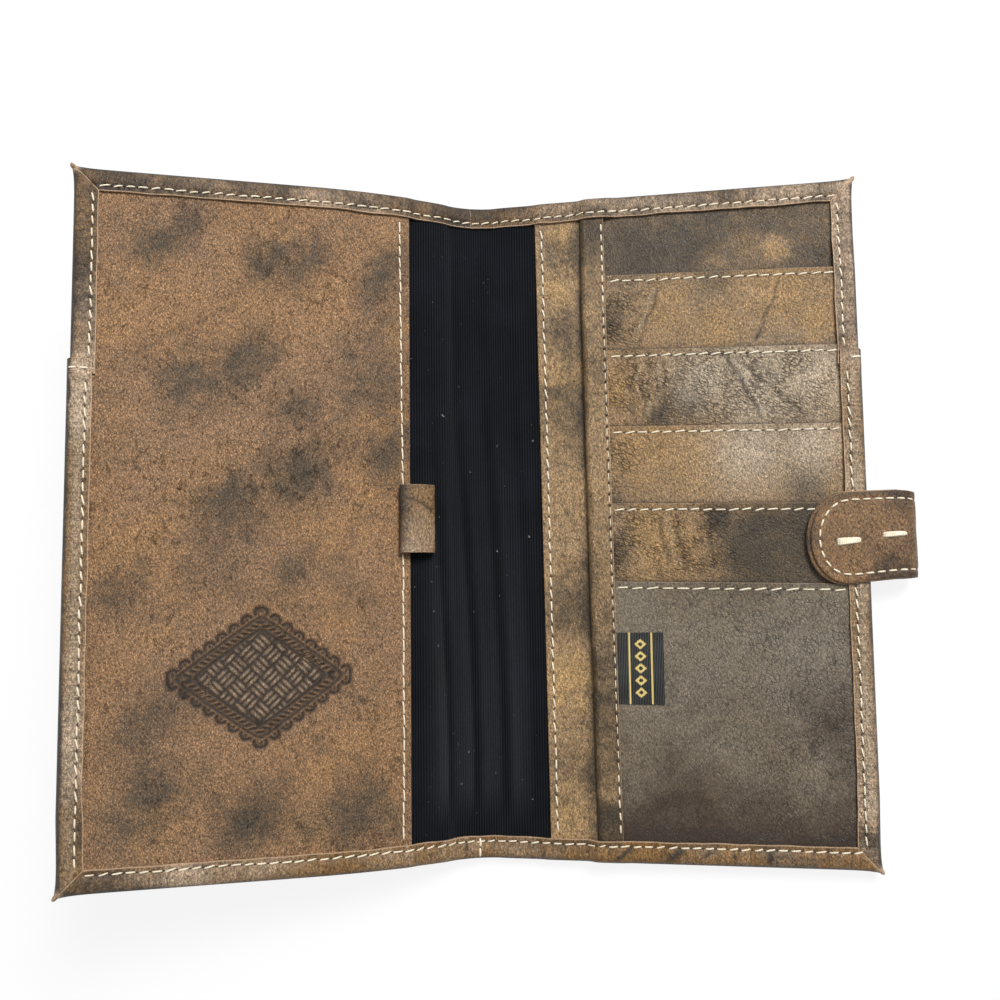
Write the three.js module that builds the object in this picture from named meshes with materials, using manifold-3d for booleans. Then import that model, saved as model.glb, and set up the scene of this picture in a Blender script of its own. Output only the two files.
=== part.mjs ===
// A long bifold travel wallet in distressed leather, lying open.
// The back cover lies flat. The spine curves up from it, and the front cover rises to the left.
// Millimetres, +X to the right, +Y towards the wallet's top edge, +Z up.
// The origin is under the middle of the open wallet, on the surface that it lies on.

import * as THREE from "three";
import { mergeVertices } from "three/addons/utils/BufferGeometryUtils.js";
import Module from "manifold-3d";

const wasm = await Module();
wasm.setup();

// Overall size, over the edge binding
const HEIGHT = 250;
const COVER_REACH = 134; // fold line to outer edge
const SPINE_WIDTH = 23; // outer face of the spine, fold line to fold line

// The way it lies open
const SPINE_TURN = 45; // degrees that the spine curls up from the back cover
const FRONT_RISE = 24; // degrees from the table to the flat of the front cover
const FRONT_BOW = 14; // degrees more at the front cover's fold line
const BOW_LENGTH = 52; // the bow has died away this far from the fold line

// The way it folds, in degrees from how it lies
const CLOSE_AT_BACK_FOLD = 68;
const CLOSE_AT_FRONT_FOLD = 89;
const OPEN_AT_FOLDS = 15;
const FOLD_CLEARANCE = 0.3;

// Thickness of each layer, and the air that each layer keeps
const COVER_LEATHER = 1.2;
const BOARD = 0.8;
const LINING = 0.4;
const PANEL = 1.0;
const CARD_LEAF = 0.6;
const BINDING = 1.0;
const TRIM = 0.8;
const LOOP_LEATHER = 1.0;
const STRAP_LAYER = 1.0;
const TAB_CLOTH = 0.4;
const LAYER_GAP = 0.2;

// Edge binding: how far each strip reaches in over the panels
const END_STRIP = 8.4;
const FRONT_SIDE_STRIP = 8.6;
const BACK_SIDE_STRIP = 7.9;
const FRONT_SPLICE_Y = 51;
const BACK_SPLICE_Y = 55;
const SPLICE_LAP = 5;
const CORNER_EAR = 1.8;
const EAR_FOOT = 7;
const EAR_THICKNESS = 2;

// Front cover: pocket panel and pen loop, measured from the front fold line
const POCKET_EDGE = 15;
const LOOP_MIDDLE = 13.3;
const LOOP_MIDDLE_Y = 1.4;
const LOOP_WIDTH = 13.2;
const LOOP_HEIGHT = 5;
const LOOP_LENGTH = 25;

// Back cover: pockets, measured from the back fold line
const SLIP_EDGE = 16.5;
const TRIM_EDGE = 34;
const TRIM_WIDTH = 9.3;
const TRIM_ROUND = 2; // outer radius of the trim's turned edge
const FIRST_MOUTH_DEPTH = 32.5; // wallet's top edge down to the first card mouth
const MOUTH_PITCH = 29;
const CARD_LEAVES = 4;
const SLOT_DEPTH = 54;

// Woven tab on the lower pocket
const TAB_WIDTH = 16;
const TAB_HEIGHT = 26;
const TAB_FROM_TRIM = 0.8;
const TAB_BELOW_MOUTH = 18;

// Closure strap
const STRAP_MIDDLE_Y = -8.6;
const STRAP_WIDTH = 30.5;
const STRAP_TIP_WIDTH = 32.5;
const STRAP_TIP_ROUND = 13; // length of the rounded tip
const STRAP_TAB_LENGTH = 37; // fold to the tip of the upper layer
const STRAP_TIP_STEP = 1.6; // the lower layer shows this much at the tip
const STRAP_OVERHANG = 17; // fold beyond the binding's edge
const STRAP_ROOT = 44; // sewn to the outer face, measured in from the binding's edge
const ROOT_CORNER = 4;

// Hidden closure
const MAGNET_RADIUS = 6;
const MAGNET_THICKNESS = 0.8;
const MAGNET_FROM_FOLD = 20;
const PLATE_RADIUS = 7;
const PLATE_FROM_EDGE = 20;
const SEAT_CLEARANCE = 0.3;

const BOW_STEPS = 8;
const SPINE_STEPS = 8;
const ROUND_STEPS = 8;

const radians = THREE.MathUtils.degToRad;

// Levels of the layers above a cover's outer face
const foldAxis = COVER_LEATHER / 2;
const boardLow = COVER_LEATHER + LAYER_GAP;
const coverLiningLow = boardLow + BOARD + LAYER_GAP;
const coverLiningTop = coverLiningLow + LINING;
const panelLow = coverLiningTop + LAYER_GAP;
const panelTop = panelLow + PANEL;
const cardBackLow = panelTop + LAYER_GAP;
const cardBackTop = cardBackLow + CARD_LEAF;
const leafLow = cardBackTop + LAYER_GAP;
const leafSlope = (CARD_LEAF + LAYER_GAP) / MOUTH_PITCH;
const mouthLow = leafLow + leafSlope * SLOT_DEPTH;
const mouthTop = mouthLow + CARD_LEAF;
const spineLiningLow = COVER_LEATHER + LAYER_GAP;
const spineLiningTop = spineLiningLow + LINING;

// Where the stack of layers ends inside the binding
const halfHeight = HEIGHT / 2;
const stackHalf = halfHeight - BINDING - LAYER_GAP;
const firstMouthY = halfHeight - FIRST_MOUTH_DEPTH;
const stackReach = COVER_REACH - BINDING - LAYER_GAP;

const spineRadius = SPINE_WIDTH / radians(SPINE_TURN);
const bowRadius = BOW_LENGTH / radians(FRONT_BOW);

// Each profile turns a distance from its fold line and a level above its outer face into X and Z.

const backProfile = {
  steps: [],
  at: (along, level) => [along, level],
};

const spineProfile = {
  steps: Array.from({ length: SPINE_STEPS + 1 }, (_, i) => (SPINE_WIDTH * i) / SPINE_STEPS),
  at: (along, level) => {
    const turn = along / spineRadius;
    const radius = spineRadius - level;
    return [-radius * Math.sin(turn), spineRadius - radius * Math.cos(turn)];
  },
};

const frontProfile = {
  steps: Array.from({ length: BOW_STEPS + 1 }, (_, i) => (BOW_LENGTH * i) / BOW_STEPS),
  at: (along, level) => {
    const bow = radians(FRONT_BOW);
    const lean = bow - Math.min(along, BOW_LENGTH) / bowRadius;
    const flat = Math.max(along - BOW_LENGTH, 0);
    const x = -bowRadius * (Math.sin(bow) - Math.sin(lean)) - flat;
    const z = bowRadius * (Math.cos(lean) - Math.cos(bow));
    return [x + level * Math.sin(lean), z + level * Math.cos(lean)];
  },
};

/** How far a layer stays back from a fold line, so that both sides can fold to the given angle. */
function foldSetback(level, closing) {
  const angle = level > foldAxis ? closing : OPEN_AT_FOLDS;
  return FOLD_CLEARANCE + Math.abs(level - foldAxis) * Math.tan(radians(angle / 2));
}

/** A level that may be a number, or a list of [distance, level] corners joined by straight lines. */
function levelAt(level, along) {
  if (typeof level === "number") return level;
  const after = level.findIndex(([distance]) => distance >= along);
  if (after === 0) return level[0][1];
  if (after < 0) return level[level.length - 1][1];
  const [d0, l0] = level[after - 1];
  const [d1, l1] = level[after];
  return l0 + ((l1 - l0) * (along - d0)) / (d1 - d0);
}

/** The level's own corners that lie between two distances. */
function cornersOf(level) {
  return typeof level === "number" ? [] : level.map(([distance]) => distance);
}

/** One edge of a band: its points at one level, from one distance to another. */
function bandEdge(profile, level, from, to) {
  const inside = [...profile.steps, ...cornersOf(level)].filter((d) => d > from + 0.05 && d < to - 0.05);
  const stations = [from, ...new Set(inside), to].sort((a, b) => a - b);
  return stations.map((d) => new THREE.Vector2(...profile.at(d, levelAt(level, d))));
}

/** Extrudes a section drawn in X and Z from y0 to y1. */
function alongY(shape, y0, y1) {
  const geometry = new THREE.ExtrudeGeometry(shape, {
    depth: y1 - y0,
    bevelEnabled: false,
    curveSegments: ROUND_STEPS,
  });
  const basis = new THREE.Matrix4().makeBasis(
    new THREE.Vector3(1, 0, 0),
    new THREE.Vector3(0, 0, 1),
    new THREE.Vector3(0, -1, 0),
  );
  return geometry.applyMatrix4(basis).translate(0, y1, 0);
}

/** Extrudes a section drawn in Y and Z from x0 to x1. */
function alongX(shape, x0, x1) {
  const geometry = new THREE.ExtrudeGeometry(shape, { depth: x1 - x0, bevelEnabled: false });
  const basis = new THREE.Matrix4().makeBasis(
    new THREE.Vector3(0, 1, 0),
    new THREE.Vector3(0, 0, 1),
    new THREE.Vector3(1, 0, 0),
  );
  return geometry.applyMatrix4(basis).translate(x0, 0, 0);
}

/** Extrudes an outline drawn in X and Y from z0 to z1. */
function alongZ(shape, z0, z1) {
  const options = { depth: z1 - z0, bevelEnabled: false, curveSegments: ROUND_STEPS };
  return new THREE.ExtrudeGeometry(shape, options).translate(0, 0, z0);
}

/** A sheet that follows a profile between two levels. Its ends may lean: [at the low level, at the high]. */
function band(profile, { from, to, low, high, y0 = -stackHalf, y1 = stackHalf }) {
  const [fromLow, fromHigh] = Array.isArray(from) ? from : [from, from];
  const [toLow, toHigh] = Array.isArray(to) ? to : [to, to];
  const under = bandEdge(profile, low, fromLow, toLow);
  const over = bandEdge(profile, high, fromHigh, toHigh);
  return alongY(new THREE.Shape([...under, ...over.reverse()]), y0, y1);
}

/** A sheet that slopes from one level to another along Y. */
function slopedSheet({ x0, x1, y0, y1, low0, low1, thickness }) {
  const corners = [
    new THREE.Vector2(y0, low0),
    new THREE.Vector2(y1, low1),
    new THREE.Vector2(y1, low1 + thickness),
    new THREE.Vector2(y0, low0 + thickness),
  ];
  return alongX(new THREE.Shape(corners), x0, x1);
}

/** A closed solid for boolean work, from any geometry. */
function solid(geometry) {
  const bare = geometry.clone();
  bare.deleteAttribute("normal");
  bare.deleteAttribute("uv");
  const merged = mergeVertices(bare, 1e-4);
  return new wasm.Manifold(
    new wasm.Mesh({
      numProp: 3,
      vertProperties: new Float32Array(merged.attributes.position.array),
      triVerts: new Uint32Array(merged.index.array),
    }),
  );
}

/** The geometry of a boolean result. */
function geometryOf(manifold) {
  const mesh = manifold.getMesh();
  const geometry = new THREE.BufferGeometry();
  geometry.setAttribute("position", new THREE.BufferAttribute(mesh.vertProperties, 3));
  geometry.setIndex(new THREE.BufferAttribute(mesh.triVerts, 1));
  geometry.computeVertexNormals();
  return geometry;
}

function join(...geometries) {
  return geometryOf(geometries.map(solid).reduce((whole, piece) => whole.add(piece)));
}

function cut(geometry, ...tools) {
  return geometryOf(tools.map(solid).reduce((whole, tool) => whole.subtract(tool), solid(geometry)));
}

function overlapOf(first, second) {
  return geometryOf(solid(first).intersect(solid(second)));
}

/** A flat round disc that lies on the XY plane. */
function disc(x, y, z0, z1, radius) {
  const round = new THREE.Shape().absarc(x, y, radius, 0, 2 * Math.PI);
  return alongZ(round, z0, z1);
}

const colours = {
  cover: new THREE.Color(0x4a3a2e),
  pocket: new THREE.Color(0x8a5a34),
  card: new THREE.Color(0x5b4232),
  binding: new THREE.Color(0x54453b),
  strap: new THREE.Color(0x5a4a3c),
  cloth: new THREE.Color(0x15140f),
  board: new THREE.Color(0xa59a86),
  steel: new THREE.Color(0xb4b6b8),
};

function finish(colour, roughness, metalness = 0) {
  return new THREE.MeshStandardMaterial({ color: colours[colour], roughness, metalness });
}

function addNode(group, name, geometry, material) {
  const mesh = new THREE.Mesh(geometry, material);
  mesh.name = name;
  group.add(mesh);
  return mesh;
}

const wallet = new THREE.Group();
wallet.name = "wallet";

const backCover = new THREE.Group();
backCover.name = "back_cover";
wallet.add(backCover);

const spine = new THREE.Group();
spine.name = "spine";
wallet.add(spine);

const frontCover = new THREE.Group();
frontCover.name = "front_cover";
const [spineEndX, spineEndZ] = spineProfile.at(SPINE_WIDTH, 0);
frontCover.position.set(spineEndX, 0, spineEndZ);
frontCover.rotation.y = radians(FRONT_RISE);
wallet.add(frontCover);

const strapTab = new THREE.Group();
strapTab.name = "strap";
wallet.add(strapTab);

// Cover leather, boards and lining

function ends(low, high, closing) {
  return [foldSetback(low, closing), foldSetback(high, closing)];
}

function coverSheet(profile, low, thickness, closing) {
  return band(profile, {
    from: ends(low, low + thickness, closing),
    to: stackReach,
    low,
    high: low + thickness,
  });
}

const plateAlong = COVER_REACH - PLATE_FROM_EDGE;
const [plateX] = frontProfile.at(plateAlong, 0);
const flatZ = frontProfile.at(BOW_LENGTH, 0)[1];
const plateHole = disc(
  plateX,
  STRAP_MIDDLE_Y,
  flatZ + boardLow - BOARD,
  flatZ + boardLow + 2 * BOARD,
  PLATE_RADIUS + SEAT_CLEARANCE,
);

addNode(
  backCover,
  "back_cover_leather",
  coverSheet(backProfile, 0, COVER_LEATHER, CLOSE_AT_BACK_FOLD),
  finish("cover", 0.55),
);
addNode(
  backCover,
  "back_board",
  coverSheet(backProfile, boardLow, BOARD, CLOSE_AT_BACK_FOLD),
  finish("board", 0.9),
);
addNode(
  backCover,
  "back_lining",
  coverSheet(backProfile, coverLiningLow, LINING, CLOSE_AT_BACK_FOLD),
  finish("cloth", 0.95),
);
addNode(
  frontCover,
  "front_cover_leather",
  coverSheet(frontProfile, 0, COVER_LEATHER, CLOSE_AT_FRONT_FOLD),
  finish("cover", 0.55),
);
addNode(
  frontCover,
  "front_board",
  cut(coverSheet(frontProfile, boardLow, BOARD, CLOSE_AT_FRONT_FOLD), plateHole),
  finish("board", 0.9),
);
addNode(
  frontCover,
  "front_lining",
  coverSheet(frontProfile, coverLiningLow, LINING, CLOSE_AT_FRONT_FOLD),
  finish("cloth", 0.95),
);
addNode(
  frontCover,
  "catch_plate",
  disc(plateX, STRAP_MIDDLE_Y, flatZ + boardLow, flatZ + boardLow + BOARD, PLATE_RADIUS),
  finish("steel", 0.35, 1),
);

function spineSheet(low, thickness, y0, y1) {
  const high = low + thickness;
  return band(spineProfile, {
    from: ends(low, high, CLOSE_AT_BACK_FOLD),
    to: ends(low, high, CLOSE_AT_FRONT_FOLD).map((setback) => SPINE_WIDTH - setback),
    low,
    high,
    y0,
    y1,
  });
}

addNode(spine, "spine_leather", spineSheet(0, COVER_LEATHER), finish("cover", 0.55));
addNode(spine, "spine_lining", spineSheet(spineLiningLow, LINING), finish("cloth", 0.95));

// Front cover: pocket panel and pen loop

addNode(
  frontCover,
  "front_pocket_panel",
  band(frontProfile, { from: POCKET_EDGE, to: stackReach, low: panelLow, high: panelTop }),
  finish("pocket", 0.75),
);

/** A flat oval outline with round ends, lying along X. */
function oval(width, height) {
  const radius = height / 2;
  const reach = width / 2 - radius;
  const outline = new THREE.Shape();
  outline.absarc(reach, 0, radius, -Math.PI / 2, Math.PI / 2);
  outline.absarc(-reach, 0, radius, Math.PI / 2, (3 * Math.PI) / 2);
  return outline;
}

const loopSection = oval(LOOP_WIDTH, LOOP_HEIGHT);
loopSection.holes.push(oval(LOOP_WIDTH - 2 * LOOP_LEATHER, LOOP_HEIGHT - 2 * LOOP_LEATHER));
const loop = alongY(loopSection, LOOP_MIDDLE_Y - LOOP_LENGTH / 2, LOOP_MIDDLE_Y + LOOP_LENGTH / 2);
const loopSeat = panelTop + LAYER_GAP;
const [loopX, loopZ] = frontProfile.at(LOOP_MIDDLE, loopSeat + LOOP_HEIGHT / 2);
loop.rotateY(radians(FRONT_BOW * (1 - POCKET_EDGE / BOW_LENGTH)));
loop.translate(loopX, 0, loopZ);
addNode(frontCover, "pen_loop", loop, finish("pocket", 0.7));

// Back cover: slip pocket, card leaves, lower pocket, their edge trim and the woven tab

addNode(
  backCover,
  "slip_pocket_panel",
  band(backProfile, { from: SLIP_EDGE, to: stackReach, low: panelLow, high: panelTop }),
  finish("card", 0.7),
);

const leafStart = TRIM_EDGE + TRIM_ROUND;
addNode(
  backCover,
  "card_panel_back",
  band(backProfile, { from: leafStart, to: stackReach, low: cardBackLow, high: cardBackTop }),
  finish("card", 0.7),
);

for (let i = 0; i < CARD_LEAVES; i += 1) {
  const mouthY = firstMouthY - i * MOUTH_PITCH;
  const leaf = slopedSheet({
    x0: leafStart,
    x1: stackReach,
    y0: mouthY - SLOT_DEPTH,
    y1: mouthY,
    low0: leafLow,
    low1: mouthLow,
    thickness: CARD_LEAF,
  });
  addNode(backCover, `card_leaf_${i + 1}`, leaf, finish("card", 0.7));
}

const pocketMouthY = firstMouthY - CARD_LEAVES * MOUTH_PITCH;
const pocketSlope = (mouthLow - leafLow) / (pocketMouthY + stackHalf);
function lowerPocketTop(y) {
  return leafLow + CARD_LEAF + pocketSlope * (y + stackHalf);
}
addNode(
  backCover,
  "lower_pocket",
  slopedSheet({
    x0: leafStart,
    x1: stackReach,
    y0: -stackHalf,
    y1: pocketMouthY,
    low0: leafLow,
    low1: mouthLow,
    thickness: CARD_LEAF,
  }),
  finish("card", 0.7),
);

const trimTop = mouthTop + LAYER_GAP + TRIM;
const trimTurn = new THREE.Vector2(TRIM_EDGE + TRIM_ROUND, trimTop - TRIM_ROUND);
const trimSection = new THREE.Shape();
trimSection.moveTo(TRIM_EDGE, cardBackLow);
trimSection.lineTo(TRIM_EDGE + TRIM, cardBackLow);
trimSection.absarc(trimTurn.x, trimTurn.y, TRIM_ROUND - TRIM, Math.PI, Math.PI / 2, true);
trimSection.lineTo(TRIM_EDGE + TRIM_WIDTH, trimTop - TRIM);
trimSection.lineTo(TRIM_EDGE + TRIM_WIDTH, trimTop);
trimSection.absarc(trimTurn.x, trimTurn.y, TRIM_ROUND, Math.PI / 2, Math.PI);
const trimHalf = halfHeight - END_STRIP - LAYER_GAP;
addNode(backCover, "card_edge_trim", alongY(trimSection, -trimHalf, trimHalf), finish("card", 0.6));

const tabTopY = pocketMouthY - TAB_BELOW_MOUTH;
const tabStart = TRIM_EDGE + TRIM_WIDTH + TAB_FROM_TRIM;
addNode(
  backCover,
  "woven_tab",
  slopedSheet({
    x0: tabStart,
    x1: tabStart + TAB_WIDTH,
    y0: tabTopY - TAB_HEIGHT,
    y1: tabTopY,
    low0: lowerPocketTop(tabTopY - TAB_HEIGHT) + LAYER_GAP,
    low1: lowerPocketTop(tabTopY) + LAYER_GAP,
    thickness: TAB_CLOTH,
  }),
  finish("cloth", 0.9),
);

// Edge binding: strips turned round the edge of the whole stack

const bindingLow = -LAYER_GAP - BINDING;
const beyond = 2 * HEIGHT; // far enough for a cutting tool to pass right through

/** The same level corners, raised by an amount. */
function raised(level, amount) {
  if (typeof level === "number") return level + amount;
  return level.map(([distance, height]) => [distance, height + amount]);
}

/** The outside of a strip, before the stack's own space is cut from it. */
function stripOutside(profile, strip) {
  const high = raised(strip.stackTop, LAYER_GAP + BINDING);
  return band(profile, { ...strip, low: bindingLow, high });
}

/** The space that the stack takes inside a strip. */
function stripInside(profile, strip) {
  const high = raised(strip.stackTop, LAYER_GAP);
  return band(profile, { ...strip, low: -LAYER_GAP, high });
}

/** Everything inside a frame of binding. */
function stripWindow(profile, to, y0, y1) {
  return band(profile, { from: -END_STRIP, to, low: -END_STRIP, high: 2 * END_STRIP, y0, y1 });
}

/** The pinched tip of leather that stands out at a mitred corner. */
function cornerEar(profile, top) {
  const [cornerX, level] = profile.at(COVER_REACH, 0);
  const out = Math.sign(cornerX);
  const up = Math.sign(top);
  const inset = BINDING / 2;
  const outline = new THREE.Shape();
  outline.moveTo(cornerX - out * inset, top - up * EAR_FOOT);
  outline.lineTo(cornerX + out * CORNER_EAR, top + up * CORNER_EAR);
  outline.lineTo(cornerX - out * EAR_FOOT, top - up * inset);
  outline.lineTo(cornerX - out * inset, top - up * inset);
  const middle = level + (panelTop - COVER_LEATHER) / 2;
  return alongZ(outline, middle - EAR_THICKNESS / 2, middle + EAR_THICKNESS / 2);
}

/** The end of a lower strip, turned over the end of the strip above it. */
function spliceLap(profile, sideStrip, stackTop, spliceY) {
  const step = BINDING + LAYER_GAP;
  const lap = {
    from: COVER_REACH - sideStrip,
    to: COVER_REACH + step,
    low: bindingLow - step,
    high: stackTop + LAYER_GAP + BINDING + step,
    y0: spliceY - SPLICE_LAP,
    y1: spliceY + SPLICE_LAP,
  };
  const seat = {
    from: COVER_REACH - 2 * sideStrip,
    to: COVER_REACH + LAYER_GAP,
    low: bindingLow - LAYER_GAP,
    high: stackTop + BINDING + 2 * LAYER_GAP,
    y0: spliceY - LAYER_GAP,
    y1: spliceY + 2 * SPLICE_LAP,
  };
  return cut(band(profile, lap), band(profile, seat));
}

const frontStack = [
  [POCKET_EDGE - 2, coverLiningTop],
  [POCKET_EDGE - LAYER_GAP, panelTop],
];
const backTopStack = [
  [SLIP_EDGE - 2, coverLiningTop],
  [SLIP_EDGE - LAYER_GAP, panelTop],
  [TRIM_EDGE - 2, panelTop],
  [TRIM_EDGE - LAYER_GAP, cardBackTop],
];
const backBottomStack = [
  ...backTopStack.slice(0, 3),
  [TRIM_EDGE - LAYER_GAP, lowerPocketTop(END_STRIP - halfHeight)],
];

const frontLead = ends(bindingLow, coverLiningTop + LAYER_GAP + BINDING, CLOSE_AT_FRONT_FOLD);
const backLead = ends(bindingLow, coverLiningTop + LAYER_GAP + BINDING, CLOSE_AT_BACK_FOLD);
const slotReach = COVER_REACH - BINDING;
const slotHalf = halfHeight - BINDING;
const windowHalf = halfHeight - END_STRIP;

const frontFrame = { from: frontLead, to: COVER_REACH, stackTop: frontStack };
const frontSlot = stripInside(frontProfile, {
  from: -END_STRIP,
  to: slotReach,
  stackTop: frontStack,
  y0: -slotHalf,
  y1: slotHalf,
});
const frontWindow = stripWindow(frontProfile, COVER_REACH - FRONT_SIDE_STRIP, -windowHalf, windowHalf);

const frontUpper = cut(
  join(
    stripOutside(frontProfile, { ...frontFrame, y0: FRONT_SPLICE_Y, y1: halfHeight }),
    cornerEar(frontProfile, halfHeight),
  ),
  frontSlot,
  frontWindow,
);
const frontLower = cut(
  join(
    stripOutside(frontProfile, { ...frontFrame, y0: -halfHeight, y1: FRONT_SPLICE_Y - LAYER_GAP }),
    spliceLap(frontProfile, FRONT_SIDE_STRIP, panelTop, FRONT_SPLICE_Y),
    cornerEar(frontProfile, -halfHeight),
  ),
  frontSlot,
  frontWindow,
);
addNode(frontCover, "front_binding_upper", frontUpper, finish("binding", 0.6));
addNode(frontCover, "front_binding_lower", frontLower, finish("binding", 0.6));

const backWindow = stripWindow(backProfile, COVER_REACH - BACK_SIDE_STRIP, -windowHalf, windowHalf);
const backSide = { from: COVER_REACH - BACK_SIDE_STRIP, to: COVER_REACH, stackTop: mouthTop };
const backSideSlot = stripInside(backProfile, {
  from: COVER_REACH - 2 * BACK_SIDE_STRIP,
  to: slotReach,
  stackTop: mouthTop,
  y0: -windowHalf,
  y1: windowHalf,
});

/** The back cover's frame of binding on one side of the splice. */
function backBinding(endY, spliceY, stackTop, extra) {
  const up = Math.sign(endY);
  const spread = (a, b) => ({ y0: Math.min(a, b), y1: Math.max(a, b) });
  const end = { from: backLead, to: COVER_REACH, stackTop };
  const inside = { from: -END_STRIP, to: slotReach, stackTop };
  return cut(
    join(
      stripOutside(backProfile, { ...end, ...spread(endY, endY - up * END_STRIP) }),
      stripOutside(backProfile, { ...backSide, ...spread(endY, spliceY) }),
      cornerEar(backProfile, endY),
      ...extra,
    ),
    stripInside(backProfile, { ...inside, ...spread(endY - up * BINDING, -endY) }),
    backSideSlot,
    backWindow,
  );
}

addNode(
  backCover,
  "back_binding_upper",
  backBinding(halfHeight, BACK_SPLICE_Y, backTopStack, []),
  finish("binding", 0.6),
);
addNode(
  backCover,
  "back_binding_lower",
  backBinding(-halfHeight, BACK_SPLICE_Y - LAYER_GAP, backBottomStack, [
    spliceLap(backProfile, BACK_SIDE_STRIP, mouthTop, BACK_SPLICE_Y),
  ]),
  finish("binding", 0.6),
);

function spineBinding(y0, y1) {
  const high = spineLiningTop + LAYER_GAP;
  const outside = spineSheet(bindingLow, high + BINDING - bindingLow, y0, y1);
  const inside = { low: -LAYER_GAP, high, y0: -slotHalf, y1: slotHalf };
  return cut(outside, band(spineProfile, { from: -END_STRIP, to: SPINE_WIDTH + END_STRIP, ...inside }));
}

addNode(spine, "spine_binding_top", spineBinding(windowHalf, halfHeight), finish("binding", 0.6));
addNode(spine, "spine_binding_bottom", spineBinding(-halfHeight, -windowHalf), finish("binding", 0.6));

// Closure strap: sewn under the back cover, folded round its edge, tucked over the card leaves

const strapRootTop = bindingLow - LAYER_GAP;
const strapRootLow = strapRootTop - STRAP_LAYER;
const tabLiningLow = mouthTop + LAYER_GAP + BINDING + LAYER_GAP;
const tabLow = tabLiningLow + STRAP_LAYER + LAYER_GAP;
const tabTop = tabLow + STRAP_LAYER;
const foldRadius = (tabTop - strapRootLow) / 2;
const foldMiddleZ = (tabTop + strapRootLow) / 2;
const foldX = COVER_REACH + STRAP_OVERHANG;
const foldCentreX = foldX - foldRadius;
const foldGap = FOLD_CLEARANCE / foldRadius; // radians that each side stays back from the fold line
const tipX = foldX - STRAP_TAB_LENGTH;
const rootX = COVER_REACH - STRAP_ROOT;

/** One layer of the strap in section: straight, then a quarter turn towards the fold line. */
function strapSection(startX, straightLow, straightTop, fromAngle, toAngle) {
  const upward = fromAngle > toAngle;
  const section = new THREE.Shape();
  section.moveTo(startX, upward ? straightTop : straightLow);
  section.lineTo(foldCentreX, upward ? straightTop : straightLow);
  section.absarc(foldCentreX, foldMiddleZ, foldRadius, fromAngle, toAngle, upward);
  section.absarc(foldCentreX, foldMiddleZ, foldRadius - STRAP_LAYER, toAngle, fromAngle, !upward);
  section.lineTo(startX, upward ? straightLow : straightTop);
  return section;
}

/** The strap tab seen from above, from the fold's side to its rounded and slightly wider tip. */
function tabOutline(startX, endX) {
  const half = STRAP_WIDTH / 2;
  const tipHalf = STRAP_TIP_WIDTH / 2;
  const shoulderX = endX + STRAP_TIP_ROUND;
  const outline = new THREE.Shape();
  outline.moveTo(startX, STRAP_MIDDLE_Y - half);
  outline.lineTo(startX, STRAP_MIDDLE_Y + half);
  outline.lineTo(shoulderX, STRAP_MIDDLE_Y + tipHalf);
  outline.absellipse(
    shoulderX,
    STRAP_MIDDLE_Y,
    STRAP_TIP_ROUND,
    tipHalf,
    Math.PI / 2,
    (3 * Math.PI) / 2,
    false,
    0,
  );
  return outline;
}

/** The sewn root seen from below, with two rounded corners. */
function rootOutline() {
  const low = STRAP_MIDDLE_Y - STRAP_WIDTH / 2;
  const high = STRAP_MIDDLE_Y + STRAP_WIDTH / 2;
  const outline = new THREE.Shape();
  outline.moveTo(foldX + STRAP_LAYER, low);
  outline.lineTo(foldX + STRAP_LAYER, high);
  outline.lineTo(rootX + ROOT_CORNER, high);
  outline.absarc(rootX + ROOT_CORNER, high - ROOT_CORNER, ROOT_CORNER, Math.PI / 2, Math.PI);
  outline.absarc(rootX + ROOT_CORNER, low + ROOT_CORNER, ROOT_CORNER, Math.PI, (3 * Math.PI) / 2);
  return outline;
}

const strapLowY = STRAP_MIDDLE_Y - STRAP_TIP_WIDTH;
const strapHighY = STRAP_MIDDLE_Y + STRAP_TIP_WIDTH;
const magnetX = foldX - MAGNET_FROM_FOLD;
const magnetLow = (tabLiningLow + tabTop) / 2 - MAGNET_THICKNESS / 2;
const magnetTop = magnetLow + MAGNET_THICKNESS;
const magnetSeat = disc(
  magnetX,
  STRAP_MIDDLE_Y,
  magnetLow - LAYER_GAP,
  magnetTop + LAYER_GAP,
  MAGNET_RADIUS + SEAT_CLEARANCE,
);

addNode(
  backCover,
  "strap_root",
  overlapOf(
    alongY(strapSection(rootX, strapRootLow, strapRootTop, -Math.PI / 2, -foldGap), strapLowY, strapHighY),
    alongZ(rootOutline(), 2 * strapRootLow, foldMiddleZ),
  ),
  finish("strap", 0.65),
);
addNode(
  strapTab,
  "strap_tab",
  cut(
    overlapOf(
      alongY(strapSection(tipX, tabLow, tabTop, Math.PI / 2, foldGap), strapLowY, strapHighY),
      alongZ(tabOutline(foldX + STRAP_LAYER, tipX), foldMiddleZ, 2 * tabTop),
    ),
    magnetSeat,
  ),
  finish("strap", 0.65),
);
addNode(
  strapTab,
  "strap_tab_lining",
  cut(
    alongZ(
      tabOutline(foldCentreX, tipX - STRAP_TIP_STEP),
      tabLiningLow,
      tabLiningLow + STRAP_LAYER,
    ),
    magnetSeat,
  ),
  finish("strap", 0.7),
);
addNode(
  strapTab,
  "closure_magnet",
  disc(magnetX, STRAP_MIDDLE_Y, magnetLow, magnetTop, MAGNET_RADIUS),
  finish("steel", 0.35, 1),
);

// Set the open wallet down on the origin.
const extent = new THREE.Box3().setFromObject(wallet, true);
const middle = extent.getCenter(new THREE.Vector3());
wallet.position.set(-middle.x, -middle.y, -extent.min.z);

export default wallet;
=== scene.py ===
# %% [markdown]
# # A long travel wallet in distressed leather, lying open
# The wallet is a stack of thin leather and cloth layers with a turned leather strip sewn round the edge.
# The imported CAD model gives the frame: every layer below is laid on the same bent sheet as its solid,
# so that it follows the same folds. All lengths in this file are millimetres until a mesh is made.

import bpy
import numpy as np
from mathutils import Matrix, Vector


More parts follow.
